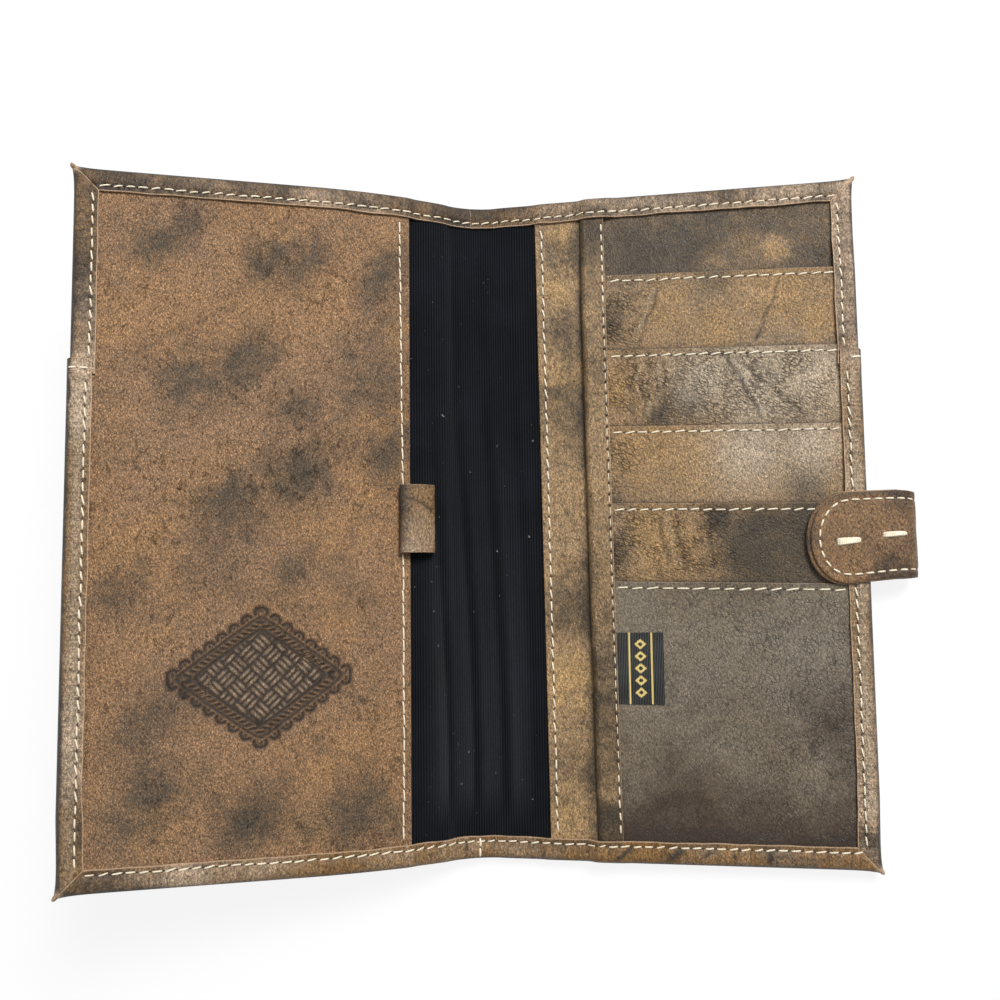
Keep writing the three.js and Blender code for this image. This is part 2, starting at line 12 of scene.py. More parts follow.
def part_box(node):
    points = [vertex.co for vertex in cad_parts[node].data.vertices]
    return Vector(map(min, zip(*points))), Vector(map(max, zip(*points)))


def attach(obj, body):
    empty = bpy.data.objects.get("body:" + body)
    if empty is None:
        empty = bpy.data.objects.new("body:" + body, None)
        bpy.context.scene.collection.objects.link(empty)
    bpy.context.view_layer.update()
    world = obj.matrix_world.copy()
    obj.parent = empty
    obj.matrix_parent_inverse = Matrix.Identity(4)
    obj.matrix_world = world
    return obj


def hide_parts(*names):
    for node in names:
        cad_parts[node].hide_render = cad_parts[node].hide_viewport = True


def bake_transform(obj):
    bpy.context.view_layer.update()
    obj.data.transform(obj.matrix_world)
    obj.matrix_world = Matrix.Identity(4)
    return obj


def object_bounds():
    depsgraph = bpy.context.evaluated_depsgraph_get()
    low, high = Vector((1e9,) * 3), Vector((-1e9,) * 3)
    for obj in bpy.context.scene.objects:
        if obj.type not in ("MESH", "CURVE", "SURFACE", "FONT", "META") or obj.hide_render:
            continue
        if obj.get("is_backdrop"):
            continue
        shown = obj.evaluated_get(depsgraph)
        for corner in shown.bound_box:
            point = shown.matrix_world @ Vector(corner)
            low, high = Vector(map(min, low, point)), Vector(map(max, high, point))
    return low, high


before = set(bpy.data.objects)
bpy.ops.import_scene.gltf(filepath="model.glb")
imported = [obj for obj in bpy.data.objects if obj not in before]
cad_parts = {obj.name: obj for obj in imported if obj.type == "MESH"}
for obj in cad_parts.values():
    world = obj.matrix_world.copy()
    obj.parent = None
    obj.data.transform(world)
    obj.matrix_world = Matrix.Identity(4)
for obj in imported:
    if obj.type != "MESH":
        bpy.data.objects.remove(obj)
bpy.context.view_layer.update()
MM = 0.001

# %% [markdown]
# ## Camera, light and floor
# The camera looks down on the wallet from a little to the right. Its place comes from fitting the four
# corners and both long edges, so it is set as three small turns and not aimed at a point.
# Two wide lamps and a bright world make soft studio light. The floor shows as white to the camera,
# and mixes in a share of its real shading, so that the shadow under the raised cover stays.

# %% Camera
CAMERA_PLACE = (64.6, -27.5, 401.0)
CAMERA_PITCH, CAMERA_YAW, CAMERA_ROLL = np.radians([-5.30, -9.84, 1.61])
LENS = 37.8

camera = bpy.data.objects.new("camera", bpy.data.cameras.new("camera"))
bpy.context.scene.collection.objects.link(camera)
camera.data.lens = LENS
camera.data.sensor_width = 36.0
camera.data.clip_start = 0.01
into_camera = (
    Matrix.Rotation(CAMERA_ROLL, 3, "Z")
    @ Matrix.Rotation(CAMERA_YAW, 3, "Y")
    @ Matrix.Rotation(CAMERA_PITCH, 3, "X")
)
camera.matrix_world = Matrix.Translation(Vector(CAMERA_PLACE) * MM) @ into_camera.transposed().to_4x4()
bpy.context.scene.camera = camera
bpy.context.scene.view_settings.view_transform = "Standard"
print("camera height in mm:", CAMERA_PLACE[2])


# %% Lamps
def add_node(tree, kind, inputs=None, **settings):
    """A shader node of that kind, with its settings and the values of its input sockets."""
    made = tree.nodes.new("ShaderNode" + kind)
    for key, value in settings.items():
        setattr(made, key, value)
    for key, value in (inputs or {}).items():
        made.inputs[key].default_value = value
    return made


def add_lamp(name, place, size, power):
    """A square lamp that points at the middle of the wallet."""
    lamp = bpy.data.objects.new(name, bpy.data.lights.new(name, "AREA"))
    lamp.data.size = size
    lamp.data.energy = power
    lamp.location = place
    lamp.rotation_euler = (Vector((0, 0, 0.02)) - lamp.location).to_track_quat("-Z", "Y").to_euler()
    bpy.context.scene.collection.objects.link(lamp)


add_lamp("key_lamp", (0.5, 0.6, 1.05), 0.45, 21.8)
add_lamp("fill_lamp", (-0.8, -0.3, 1.0), 1.0, 2.5)
print("lamps:", [lamp.name for lamp in bpy.data.lights])


# %% World
def seen_directly(tree):
    """1 for rays from the camera, a mirror or glass, and 0 for the rays that light the object."""
    path = add_node(tree, "LightPath")
    direct = add_node(tree, "Math", operation="MAXIMUM")
    tree.links.new(path.outputs["Is Camera Ray"], direct.inputs[0])
    tree.links.new(path.outputs["Is Glossy Ray"], direct.inputs[1])
    either = add_node(tree, "Math", operation="MAXIMUM")
    tree.links.new(direct.outputs[0], either.inputs[0])
    tree.links.new(path.outputs["Is Transmission Ray"], either.inputs[1])
    return either.outputs[0]


LIGHT_FROM_WORLD = 0.25
world = bpy.data.worlds.new("studio")
world.use_nodes = True
bpy.context.scene.world = world
background = world.node_tree.nodes["Background"]
background.inputs["Color"].default_value = (1, 1, 1, 1)
level = add_node(world.node_tree, "MapRange", {"To Min": LIGHT_FROM_WORLD, "To Max": 1.0})
world.node_tree.links.new(seen_directly(world.node_tree), level.inputs["Value"])
world.node_tree.links.new(level.outputs["Result"], background.inputs["Strength"])
print("share of white light from the world:", LIGHT_FROM_WORLD)


# %% Floor
def new_finish(name):
    """A new material, its node tree and its main shader."""
    finish = bpy.data.materials.new(name)
    finish.use_nodes = True
    return finish, finish.node_tree, finish.node_tree.nodes["Principled BSDF"]


FLOOR_HALF = 3.0
FLOOR_DROP = 0.0003
FLOOR_SHADE_SHARE = 0.14
floor_corners = FLOOR_HALF * np.array([(-1, -1, 0), (1, -1, 0), (1, 1, 0), (-1, 1, 0)])
floor_mesh = bpy.data.meshes.new("floor")
floor_mesh.from_pydata((floor_corners - (0, 0, FLOOR_DROP)).tolist(), [], [(0, 1, 2, 3)])
floor = bpy.data.objects.new("floor", floor_mesh)
bpy.context.scene.collection.objects.link(floor)
floor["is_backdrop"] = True

floor_finish, floor_tree, floor_shader = new_finish("floor_white")
floor_shader.inputs["Base Color"].default_value = (0.9, 0.9, 0.9, 1)
floor_shader.inputs["Roughness"].default_value = 0.9
glow = add_node(floor_tree, "Emission", {"Color": (1, 1, 1, 1), "Strength": 1.0})
share = add_node(floor_tree, "Math", {1: 1 - FLOOR_SHADE_SHARE}, operation="MULTIPLY")
floor_mix = add_node(floor_tree, "MixShader")
floor_tree.links.new(seen_directly(floor_tree), share.inputs[0])
floor_tree.links.new(share.outputs[0], floor_mix.inputs["Fac"])
floor_tree.links.new(floor_shader.outputs[0], floor_mix.inputs[1])
floor_tree.links.new(glow.outputs[0], floor_mix.inputs[2])
floor_tree.links.new(floor_mix.outputs[0], floor_tree.nodes["Material Output"].inputs["Surface"])
floor_mesh.materials.append(floor_finish)
print("floor side in m:", 2 * FLOOR_HALF)

# %% [markdown]
# ## The bent sheet
# Every layer of the wallet lies at some height on one bent sheet: flat on the back cover, curling up
# through the spine, then rising along the bowed front cover. A place on it is written as a distance
# along the sheet from the back fold line, a distance across it, and a level above the outer face.
# The slope is known everywhere, so adding up its cosine and sine gives the curve with no solving.

# %% Curve of the open wallet
SPINE_WIDTH = 23.0
SPINE_TURN, FRONT_RISE, FRONT_BOW = np.radians([45.0, 24.0, 14.0])
BOW_LENGTH = 52.0
EASE = 9.0
STEP = 0.25

COVER_REACH = 134.0
HALF_HEIGHT = 125.0
RIGHT_EDGE = COVER_REACH
LEFT_EDGE = -(SPINE_WIDTH + COVER_REACH)
SPINE_MIDDLE = -SPINE_WIDTH / 2
INSET = 1.2
PANEL_HALF = HALF_HEIGHT - INSET

fold_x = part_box("back_cover_leather")[1].x / MM - (COVER_REACH - INSET)
outer_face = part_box("back_cover_leather")[0].z / MM

curve_along = np.arange(-185.0, 165.0, STEP)
bend_starts = [-(SPINE_WIDTH + BOW_LENGTH), -SPINE_WIDTH - 0.1, -SPINE_WIDTH, 0.0]
bend_slopes = [FRONT_RISE, FRONT_RISE + FRONT_BOW, SPINE_TURN, 0.0]


def eased(values, reach):
    """Values on an even grid, each one averaged with its neighbours over that reach in millimetres."""
    window = np.hanning(2 * int(reach / STEP / 2) + 3)
    padded = np.pad(values, len(window) // 2, mode="edge")
    return np.convolve(padded, window / window.sum(), mode="valid")


curve_slope = eased(np.interp(curve_along, bend_starts, bend_slopes), EASE)
curve_x = np.cumsum(np.cos(curve_slope)) * STEP
curve_z = -np.cumsum(np.sin(curve_slope)) * STEP
flat_place = np.searchsorted(curve_along, 60.0)
curve_x += fold_x + 60.0 - curve_x[flat_place]
curve_z += outer_face - curve_z[flat_place]


def lay(along, across, level):
    """Points on the bent sheet: the curve's own point, moved up its normal by the level."""
    along, across, level = np.broadcast_arrays(along, across, level)
    slope = np.interp(along, curve_along, curve_slope)
    x = np.interp(along, curve_along, curve_x) + level * np.sin(slope)
    z = np.interp(along, curve_along, curve_z) + level * np.cos(slope)
    return np.stack([x, across, z], axis=-1)


print("front edge of the sheet in mm:", lay(LEFT_EDGE, 0.0, 0.0).round(1))

# %% [markdown]
# ## Helpers for pieces
# A piece of leather is a slab: a grid of places with a top level and an underside, joined by a rim.
# A turned strip or a thread is a profile carried along a path. Both are whole arrays of points, and
# helpers turn them into a mesh, make its faces point outwards and put it on its CAD body, or fix it in
# place where it spans a hinge.


# %% A mesh from arrays
def make_piece(name, points, quads, finish, uv=None, marks=None):
    """A mesh object from points in mm and four-cornered faces, turned outwards by its signed volume."""
    corners = points[quads]
    spread = np.cross(corners[:, 2] - corners[:, 0], corners[:, 3] - corners[:, 1])
    volume = (corners.mean(axis=1) * spread).sum()
    quads = quads if volume > 0 else quads[:, ::-1]
    mesh = bpy.data.meshes.new(name)
    mesh.vertices.add(len(points))
    mesh.vertices.foreach_set("co", (points * MM).astype(np.float32).ravel())
    mesh.loops.add(quads.size)
    mesh.loops.foreach_set("vertex_index", quads.astype(np.int32).ravel())
    mesh.polygons.add(len(quads))
    mesh.polygons.foreach_set("loop_start", np.arange(0, quads.size, 4, dtype=np.int32))
    mesh.update(calc_edges=True)
    mesh.polygons.foreach_set("use_smooth", np.ones(len(quads), dtype=bool))
    mesh.set_sharp_from_angle(angle=np.radians(55))
    if uv is not None:
        layer = mesh.uv_layers.new(name="sheet")
        layer.data.foreach_set("uv", uv[quads.ravel()].astype(np.float32).ravel())
    for mark, values in (marks or {}).items():
        attribute = mesh.attributes.new(mark, "FLOAT", "POINT")
        attribute.data.foreach_set("value", np.asarray(values, dtype=np.float32).ravel())
    mesh.materials.append(finish)
    piece = bpy.data.objects.new(name, mesh)
    bpy.context.scene.collection.objects.link(piece)
    return piece


# %% Faces of slabs, plates, tubes and turned strips
def slab_quads(rows, columns):
    """Faces of a closed slab: the top grid, the same grid below it turned over, and the rim."""
    top = np.arange(rows * columns).reshape(rows, columns)
    below = rows * columns
    upper = np.stack([top[:-1, :-1], top[:-1, 1:], top[1:, 1:], top[1:, :-1]], axis=-1).reshape(-1, 4)
    rim = np.concatenate([top[0, :-1], top[:-1, -1], top[-1, :0:-1], top[:0:-1, 0]])
    following = np.roll(rim, -1)
    wall = np.stack([following, rim, rim + below, following + below], axis=-1)
    return np.concatenate([upper, upper[:, ::-1] + below, wall])


def plate_quads(rows, columns):
    """Faces of a closed plate whose underside is straight from the first row to the last, which suits a
    fine top grid: the top, one long face below each column, and four walls. Rows must be even."""
    top = np.arange(rows * columns).reshape(rows, columns)
    first = rows * columns + np.arange(columns)
    last = first + columns
    upper = np.stack([top[:-1, :-1], top[:-1, 1:], top[1:, 1:], top[1:, :-1]], axis=-1).reshape(-1, 4)
    under = np.stack([first[:-1], last[:-1], last[1:], first[1:]], axis=-1)
    near = np.stack([top[0, 1:], top[0, :-1], first[:-1], first[1:]], axis=-1)
    far = np.stack([top[-1, :-1], top[-1, 1:], last[1:], last[:-1]], axis=-1)
    left_ring = np.concatenate([[first[0]], top[:, 0], [last[0]]])
    right_ring = np.concatenate([[last[-1]], top[::-1, -1], [first[-1]]])
    fan = fan_quads(rows + 2)
    return np.concatenate([upper, under, near, far, left_ring[fan], right_ring[fan]])


def tube_quads(stations, around):
    """Faces between each ring of a tube and the next, with the rings closed on themselves."""
    ring = np.arange(stations * around).reshape(stations, around)
    beside = np.roll(ring, -1, axis=1)
    return np.stack([ring[:-1], beside[:-1], beside[1:], ring[1:]], axis=-1).reshape(-1, 4)


def fan_quads(around):
    """Faces that close a ring with an even number of points."""
    step = 2 * np.arange(around // 2 - 1)
    return np.stack([0 * step, step + 1, step + 2, step + 3], axis=-1)


def turned_strip_quads(stations, around):
    """Faces of a strip whose ring runs along an outer line and back along an inner one: the tube between
    its rings, and at each end the faces between the two lines."""
    first = np.arange(around // 2 - 1)
    cap = np.stack([first, first + 1, around - 2 - first, around - 1 - first], axis=-1)
    far_cap = cap[:, ::-1] + (stations - 1) * around
    return np.concatenate([tube_quads(stations, around), cap, far_cap])


def rim_mark(rows, columns):
    """1 along the rim of a grid and 0 inside it, for the top and the underside of a slab."""
    rim = np.zeros((rows, columns))
    rim[[0, -1], :] = 1
    rim[:, [0, -1]] = 1
    return np.concatenate([rim, rim])


# %% Edges, unevenness and stains
def edged(start, end, step):
    """Places from start to end about a step apart, closer at both ends, where an edge is rounded."""
    close = np.array([0.0, 0.12, 0.3, 0.6, 1.0])
    way = np.sign(end - start)
    count = max(int(abs(end - start) / step), 3)
    middle = np.linspace(start + way * 1.6, end - way * 1.6, count)
    return np.concatenate([start + way * close, middle, end - way * close[::-1]])


def rounded(distance, radius):
    """How far a rounded edge drops, at a distance in from it: a quarter circle of that radius."""
    reach = np.clip(radius - distance, 0, radius)
    return radius - np.sqrt(radius**2 - reach**2)


def hills(along, across, reach, seed):
    """Soft unevenness from about -1 to 1: six waves that cross each other, each of its own length."""
    count = np.arange(6)
    turn = seed * 1.3 + count * 2.4
    length = reach * (0.6 + 0.17 * count)
    run = np.asarray(along)[..., None] * np.cos(turn) + np.asarray(across)[..., None] * np.sin(turn)
    return 1.6 * np.sin(2 * np.pi * run / length + seed * 2.1 + count * 1.7).mean(axis=-1)


def soft_spots(along, across, spots, lean=0.0):
    """How strongly soft spots show: a bell curve round each (along, across, reach), the strongest one.
    lean draws each spot out along the diagonal that rises to the right."""
    shade = np.zeros(np.broadcast(along, across).shape)
    for spot_along, spot_across, reach in spots:
        rising = (along - spot_along + across - spot_across) / np.sqrt(2) / (1 + lean)
        falling = (along - spot_along - across + spot_across) / np.sqrt(2) * (1 + lean / 2)
        shade = np.maximum(shade, np.exp(-(rising**2 + falling**2) / (1.5 * reach) ** 2))
    return shade


# %% A slab over a grid of places
UV_LENGTH = 100.0


def grid(along, across):
    """Two arrays of grid places from the places along the sheet and across it."""
    return np.meshgrid(along, across)


def make_slab(name, along, across, top, under, finish, **marks):
    """A closed piece between two levels over a grid of places, with its cut edge marked along the rim."""
    rows, columns = along.shape
    points = np.concatenate([lay(along, across, top), lay(along, across, under)]).reshape(-1, 3)
    both = {mark: np.concatenate([values, values]) for mark, values in marks.items()}
    both.setdefault("cut_edge", rim_mark(rows, columns))
    uv = np.stack([along, across], axis=-1).reshape(-1, 2) / UV_LENGTH
    return make_piece(name, points, slab_quads(rows, columns), finish, np.concatenate([uv, uv]), both)


# %% Put a piece on the frame
HINGE_LEVEL = 0.6
FRONT_HINGE = ("front_cover", "spine", -31.0, -14.0)
BACK_HINGE = ("spine", "back_cover", -9.0, 7.0)


def settle(piece, holder, nodes=()):
    """Ride on a body, or for a hinge stay fixed in the world, in place of the CAD nodes named."""
    if isinstance(holder, str):
        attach(piece, holder)
    else:
        first, second, start, end = holder
        start_point = lay(start, 0.0, HINGE_LEVEL) * MM
        end_point = lay(end, 0.0, HINGE_LEVEL) * MM
        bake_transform(piece)
    if nodes:
        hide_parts(*nodes)
    print(piece.name, "has", len(piece.data.polygons), "faces")
    return piece


print("bends lie between these places along the sheet:", FRONT_HINGE[2:], BACK_HINGE[2:])

# %% [markdown]
# ## Leather
# The real leather is waxed and rubbed, so its colour shifts from grey-brown to orange-tan within a
# palm's width, with a fine grain over it. Painted pictures would need files, so the finish is built
# from layered noise: broad warm and plain areas, smoky patches, specks, and a bump for the grain.
# Marks stored on the mesh say where an edge is cut, where a smoky or a warm spot lies, and where the
# leather shows wear, wrinkles or burnishing. The darkening marks also carry painted shade, and the
# lightening mark carries painted sheen and highlights.


# %% Values in a shader
def tone(red, green, blue):
    """A colour given on a screen scale of 0 to 255, as the linear values a shader needs."""
    screen = np.array([red, green, blue]) / 255
    linear = np.where(screen <= 0.04045, screen / 12.92, ((screen + 0.055) / 1.055) ** 2.4)
    return (*linear.tolist(), 1.0)


def noise(tree, place, scale, detail=3.0, roughness=0.55, distortion=0.0):
    """A noise texture whose patches are about one over its scale, in the units of the place."""
    inputs = {"Scale": scale, "Detail": detail, "Roughness": roughness, "Distortion": distortion}
    made = add_node(tree, "TexNoise", inputs)
    tree.links.new(place, made.inputs["Vector"])
    return made.outputs["Fac"]


def remap(tree, value, low, high, to_low, to_high, smooth=False):
    """A value stretched from one range to another."""
    inputs = {"From Min": low, "From Max": high, "To Min": to_low, "To Max": to_high}
    kind = "SMOOTHSTEP" if smooth else "LINEAR"
    made = add_node(tree, "MapRange", inputs, interpolation_type=kind)
    tree.links.new(value, made.inputs["Value"])
    return made.outputs["Result"]


def combine(tree, operation, first, second):
    """Two values put together, where the second may be a plain number."""
    made = add_node(tree, "Math", operation=operation)
    tree.links.new(first, made.inputs[0])
    if isinstance(second, (int, float)):
        made.inputs[1].default_value = second
    else:
        tree.links.new(second, made.inputs[1])
    return made.outputs[0]


def times(tree, first, second):
    """The first value times the second."""
    return combine(tree, "MULTIPLY", first, second)


def plus(tree, first, second):
    """The first value plus the second."""
    return combine(tree, "ADD", first, second)


def minus(tree, first, second):
    """The first value less the second."""
    return combine(tree, "SUBTRACT", first, second)


# %% Colours, marks and bumps in a shader
def blend_colour(tree, factor, first, second, way="MIX"):
    """Two colours mixed by a factor; a colour is a socket or four numbers."""
    made = add_node(tree, "Mix", data_type="RGBA", blend_type=way, clamp_factor=True)
    for key, value in ((0, factor), (6, first), (7, second)):
        if isinstance(value, (tuple, int, float)):
            made.inputs[key].default_value = value
        else:
            tree.links.new(value, made.inputs[key])
    return made.outputs[2]


def mark_value(tree, name):
    """The value of a mark stored on the mesh, and 0 where the mesh has no such mark."""
    return add_node(tree, "Attribute", attribute_name=name).outputs["Fac"]


def turned(tree, place, angle, scale, way="POINT"):
    """Places turned within the sheet by an angle and scaled along each axis."""
    made = add_node(tree, "Mapping", {"Rotation": (0, 0, angle), "Scale": scale}, vector_type=way)
    tree.links.new(place, made.inputs["Vector"])
    return made.outputs["Vector"]


def add_bump(tree, shader, height, strength, depth):
    """Shade the surface as if a height of 1 stood out from it by a depth in mm."""
    bump = add_node(tree, "Bump", {"Strength": strength, "Distance": depth * MM})
    tree.links.new(height, bump.inputs["Height"])
    tree.links.new(bump.outputs["Normal"], shader.inputs["Normal"])


# %% Four kinds of leather
LEATHER_KIND = {
    "suede": {
        "grain": 1700, "crease": 0.52, "speck": (0.24, 1.80), "relief": 0.46, "pits": 0.75,
        "gloss": (0.48, 0.62), "pebble": 0.9,
        "patchy": (260, 0.52, 0.60, 0.0), "stretch": (1.4, 0.75), "crack": 0.9,
    },
    "waxed": {
        "grain": 1400, "crease": 0.38, "speck": (0.28, 1.72), "relief": 0.40, "pits": 0.45,
        "gloss": (0.38, 0.52), "pebble": 0.5,
        "patchy": (260, 0.52, 0.60, 0.0), "stretch": (1.4, 0.75), "crack": 0.9,
    },
    "smooth": {
        "grain": 1500, "crease": 0.42, "speck": (0.30, 1.70), "relief": 0.36, "pits": 0.0,
        "gloss": (0.32, 0.44), "pebble": 0.3,
        "patchy": (150, 0.36, 0.62, 0.1), "stretch": (3.0, -0.45), "crack": 0.7,
    },
    "polished": {
        "grain": 1600, "crease": 0.34, "speck": (0.42, 1.60), "relief": 0.18, "pits": 0.0,
        "gloss": (0.28, 0.40), "pebble": 0.3,
        "patchy": (150, 0.36, 0.60, 0.1), "stretch": (2.2, -1.0), "crack": 0.5,
    },
}
print("kinds of leather:", list(LEATHER_KIND))


# %% Colour of the leather
# The pale tone serves both wear and painted sheen and highlights.
WEAR_AND_SHEEN_TONE = tone(186, 170, 147)
CUT_TONE = tone(186, 157, 128)
# The darkest tone serves burnishing, scratches and cracks, and also painted shade.
BURNISH_AND_SHADE_TONE = tone(37, 31, 27)
RICHER = (1.22, 1.20, 1.04, 1.0)


def leather_colour(tree, place, mottle, plain, warm, stain_and_shade_tone, cloudy):
    """Clouds of colour: plain and warm areas from broad noise, then richer places, darker places for smoky
    stains and painted shade, and paler places for wear and painted sheen, where the marks ask for them.
    Two finer noises break up the marks, and cloudy says by how much."""
    broad = noise(tree, place, 20, 4, 0.55, 0.3)
    cloud = noise(tree, place, 55, 6, 0.62, 0.5)
    uneven = times(tree, minus(tree, cloud, 0.5), 1.9)
    uneven = plus(tree, uneven, minus(tree, mottle, 0.5))
    uneven = times(tree, uneven, cloudy)
    colour = blend_colour(tree, remap(tree, broad, 0.38, 0.62, 0, 0.8, True), plain, warm)
    warm_spot = plus(tree, times(tree, mark_value(tree, "warm_spot"), 0.8), uneven)
    rich = tuple(channel * share for channel, share in zip(warm, RICHER))
    colour = blend_colour(tree, remap(tree, warm_spot, 0.25, 0.95, 0, 0.8, True), colour, rich)
    # Darker towards the dark tone for smoky stains, and for painted shade where the marks carry it.
    dark_spot = minus(tree, mark_value(tree, "dark_spot"), uneven)
    colour = blend_colour(tree, remap(tree, dark_spot, 0.12, 0.95, 0, 0.96, True), colour, stain_and_shade_tone)
    # Paler towards the pale tone for wear, and for painted sheen and highlights where the marks carry them.
    worn = times(tree, mark_value(tree, "worn"), 0.7)
    return blend_colour(tree, worn, colour, WEAR_AND_SHEEN_TONE)


# %% Grain, pits, wrinkles and puckers
BRUSHED_TURN = 0.75
WRINKLE_WIDTH = 0.2 * MM


def creases(tree, place, scale, width):
    """0 in the creases between cells about one over the scale in metres, and 1 on top of a cell."""
    cells = add_node(tree, "TexVoronoi", {"Scale": scale}, feature="DISTANCE_TO_EDGE")
    tree.links.new(place, cells.inputs["Vector"])
    return remap(tree, cells.outputs["Distance"], 0.0, width, 0.0, 1.0, True)


def fine_grain(tree, slanted, look):
    """Shade and height of the grain: small cells with creases between them, specks and low pebbles."""
    speck = noise(tree, slanted, look["grain"], 3, 0.6)
    grain = creases(tree, slanted, look["grain"], 0.30)
    shade = remap(tree, grain, 0.0, 1.0, 1.0 - look["crease"], 1.08)
    shade = times(tree, shade, remap(tree, speck, 0.28, 0.72, *look["speck"]))
    height = plus(tree, speck, times(tree, grain, 0.15))
    pebble = noise(tree, slanted, 620, 2, 0.5)
    return shade, plus(tree, height, times(tree, pebble, look["pebble"]))


def add_pits(tree, place, slanted, look, shade, height):
    """Dark open pores, the peaks of a rough noise, in the areas where a broad noise is high."""
    pit = remap(tree, noise(tree, slanted, 420, 5, 0.75), 0.56, 0.63, 0.0, look["pits"], True)
    area = remap(tree, noise(tree, place, 38, 3, 0.6), 0.40, 0.58, 0.0, 1.0, True)
    pit = times(tree, pit, area)
    shade = times(tree, shade, remap(tree, pit, 0.0, 1.0, 1.0, 0.38))
    return shade, minus(tree, height, times(tree, pit, 0.5))


def add_wrinkles(tree, place, bent, look, wrinkles, shade, height):
    """Thin dark cracks between drawn-out cells, in patches, as strong as the wrinkle mark says."""
    longer, turn = look["stretch"]
    drawn_out = turned(tree, bent, turn, (longer, 1.0, 1.0), "TEXTURE")
    wrinkle = creases(tree, drawn_out, wrinkles, wrinkles * WRINKLE_WIDTH)
    size, low, high, least = look["patchy"]
    patchy = remap(tree, noise(tree, place, size, 4, 0.65), low, high, least, 1.0, True)
    depth = times(tree, mark_value(tree, "wrinkle"), patchy)
    depth = times(tree, depth, remap(tree, wrinkle, 0.0, 1.0, 1.0, 0.0))
    shade = times(tree, shade, remap(tree, depth, 0.0, 1.0, 1.0, 0.40))
    return shade, minus(tree, height, times(tree, depth, look["crack"]))


def add_puckers(tree, puckered, shade, height):
    """Folds across a strip, from noise squeezed along the run that the UV map holds, with painted shade in
    their hollows and a painted highlight on their tops.
    """
    squeezed = turned(tree, add_node(tree, "TexCoord").outputs["UV"], 0.0, (70.0, 9.0, 1.0))
    pucker = noise(tree, squeezed, 1.0, 3, 0.6)
    pucker_shade = remap(tree, pucker, 0.3, 0.7, 1.0 - 0.3 * puckered, 1.0 + 0.25 * puckered)
    return times(tree, shade, pucker_shade), plus(tree, height, times(tree, pucker, 2.0 * puckered))


# %% Leather finish
def leather(name, kind, plain, warm, stain_and_shade_tone, seed, cloudy, wrinkles=0.0, puckered=0.0):
    """Mottled leather: clouds of colour, shaded by the grain, by what is pressed into it, by wear, and by
    the painted shade and sheen that its marks carry.
    Every noise is bent a little by another one, so that no cell has a straight side. wrinkles is the
    scale of the wrinkles' cells, and puckered the strength of the puckers; 0 leaves them out."""
    look = LEATHER_KIND[kind]
    finish, tree, shader = new_finish(name)
    shift = add_node(tree, "Mapping", {"Location": (seed * 0.37, seed * 0.53, seed * 0.71)})
    tree.links.new(add_node(tree, "TexCoord").outputs["Object"], shift.inputs["Vector"])
    place = shift.outputs["Vector"]
    bend = add_node(tree, "TexNoise", {"Scale": 420.0, "Detail": 2.0})
    tree.links.new(place, bend.inputs["Vector"])
    bending = add_node(tree, "VectorMath", {1: (0.0008, 0.0008, 0.0008)}, operation="MULTIPLY_ADD")
    tree.links.new(bend.outputs["Color"], bending.inputs[0])
    tree.links.new(place, bending.inputs[2])
    bent = bending.outputs["Vector"]
    slanted = turned(tree, bent, BRUSHED_TURN, (1.0, 0.62, 1.0))

    mottle = noise(tree, place, 210, 4, 0.6, 0.3)
    colour = leather_colour(tree, place, mottle, plain, warm, stain_and_shade_tone, cloudy)
    shade, height = fine_grain(tree, slanted, look)
    if look["pits"] > 0:
        shade, height = add_pits(tree, place, slanted, look, shade, height)
    if wrinkles > 0:
        shade, height = add_wrinkles(tree, place, bent, look, wrinkles, shade, height)
    if puckered > 0:
        shade, height = add_puckers(tree, puckered, shade, height)
    colour = blend_colour(tree, 1.0, colour, shade, "MULTIPLY")
    colour = blend_colour(tree, times(tree, mark_value(tree, "cut_edge"), 0.85), colour, CUT_TONE)
    # Darkest where the mesh marks burnishing, scratches and cracks, and painted shade at the leaf mouths, the
    # pocket's foot and the ears' hollows.
    colour = blend_colour(tree, mark_value(tree, "burnish"), colour, BURNISH_AND_SHADE_TONE)
    tree.links.new(colour, shader.inputs["Base Color"])
    tree.links.new(remap(tree, mottle, 0.3, 0.7, *look["gloss"]), shader.inputs["Roughness"])
    shader.inputs["Specular IOR Level"].default_value = 0.25
    add_bump(tree, shader, height, 1.0, look["relief"])
    return finish


# %% The leathers of this wallet
panel_leather = leather(
    "panel_leather", "suede", tone(146, 114, 85), tone(153, 117, 81), tone(70, 62, 50),
    seed=1.0, cloudy=0.6, wrinkles=240.0,
)
slip_leather = leather(
    "slip_leather", "waxed", tone(148, 122, 91), tone(156, 127, 90), tone(56, 47, 34),
    seed=7.0, cloudy=0.6,
)
card_leather = leather(
    "card_leather", "smooth", tone(136, 113, 85), tone(148, 118, 81), tone(60, 51, 37),
    seed=2.0, cloudy=0.4, wrinkles=950.0,
)
pocket_leather = leather(
    "lower_pocket_leather", "polished", tone(118, 108, 93), tone(112, 98, 79), tone(54, 40, 30),
    seed=3.0, cloudy=0.4, wrinkles=750.0,
)
binding_leather = leather(
    "binding_leather", "waxed", tone(174, 150, 125), tone(110, 79, 37), tone(48, 40, 32),
    seed=4.0, cloudy=0.75, puckered=0.9,
)
strap_leather = leather(
    "strap_leather", "waxed", tone(120, 92, 63), tone(140, 107, 72), tone(62, 48, 36),
    seed=5.0, cloudy=0.8,
)
cover_leather = leather(
    "cover_leather", "suede", tone(128, 99, 73), tone(140, 105, 71), tone(74, 61, 50),
    seed=6.0, cloudy=0.9,
)
print("leather finishes:", [finish.name for finish in bpy.data.materials if "leather" in finish.name])

# %% [markdown]
# ## Cloth, thread, board and metal
# The lining is a black ribbed cloth, with ribs that run from top to bottom, so its pattern reads the
# distance along the sheet from the UV map. The thread is waxed cream cotton with a visible twist.
# The boards and the two closure plates lie inside the leather, but they still get a real finish.


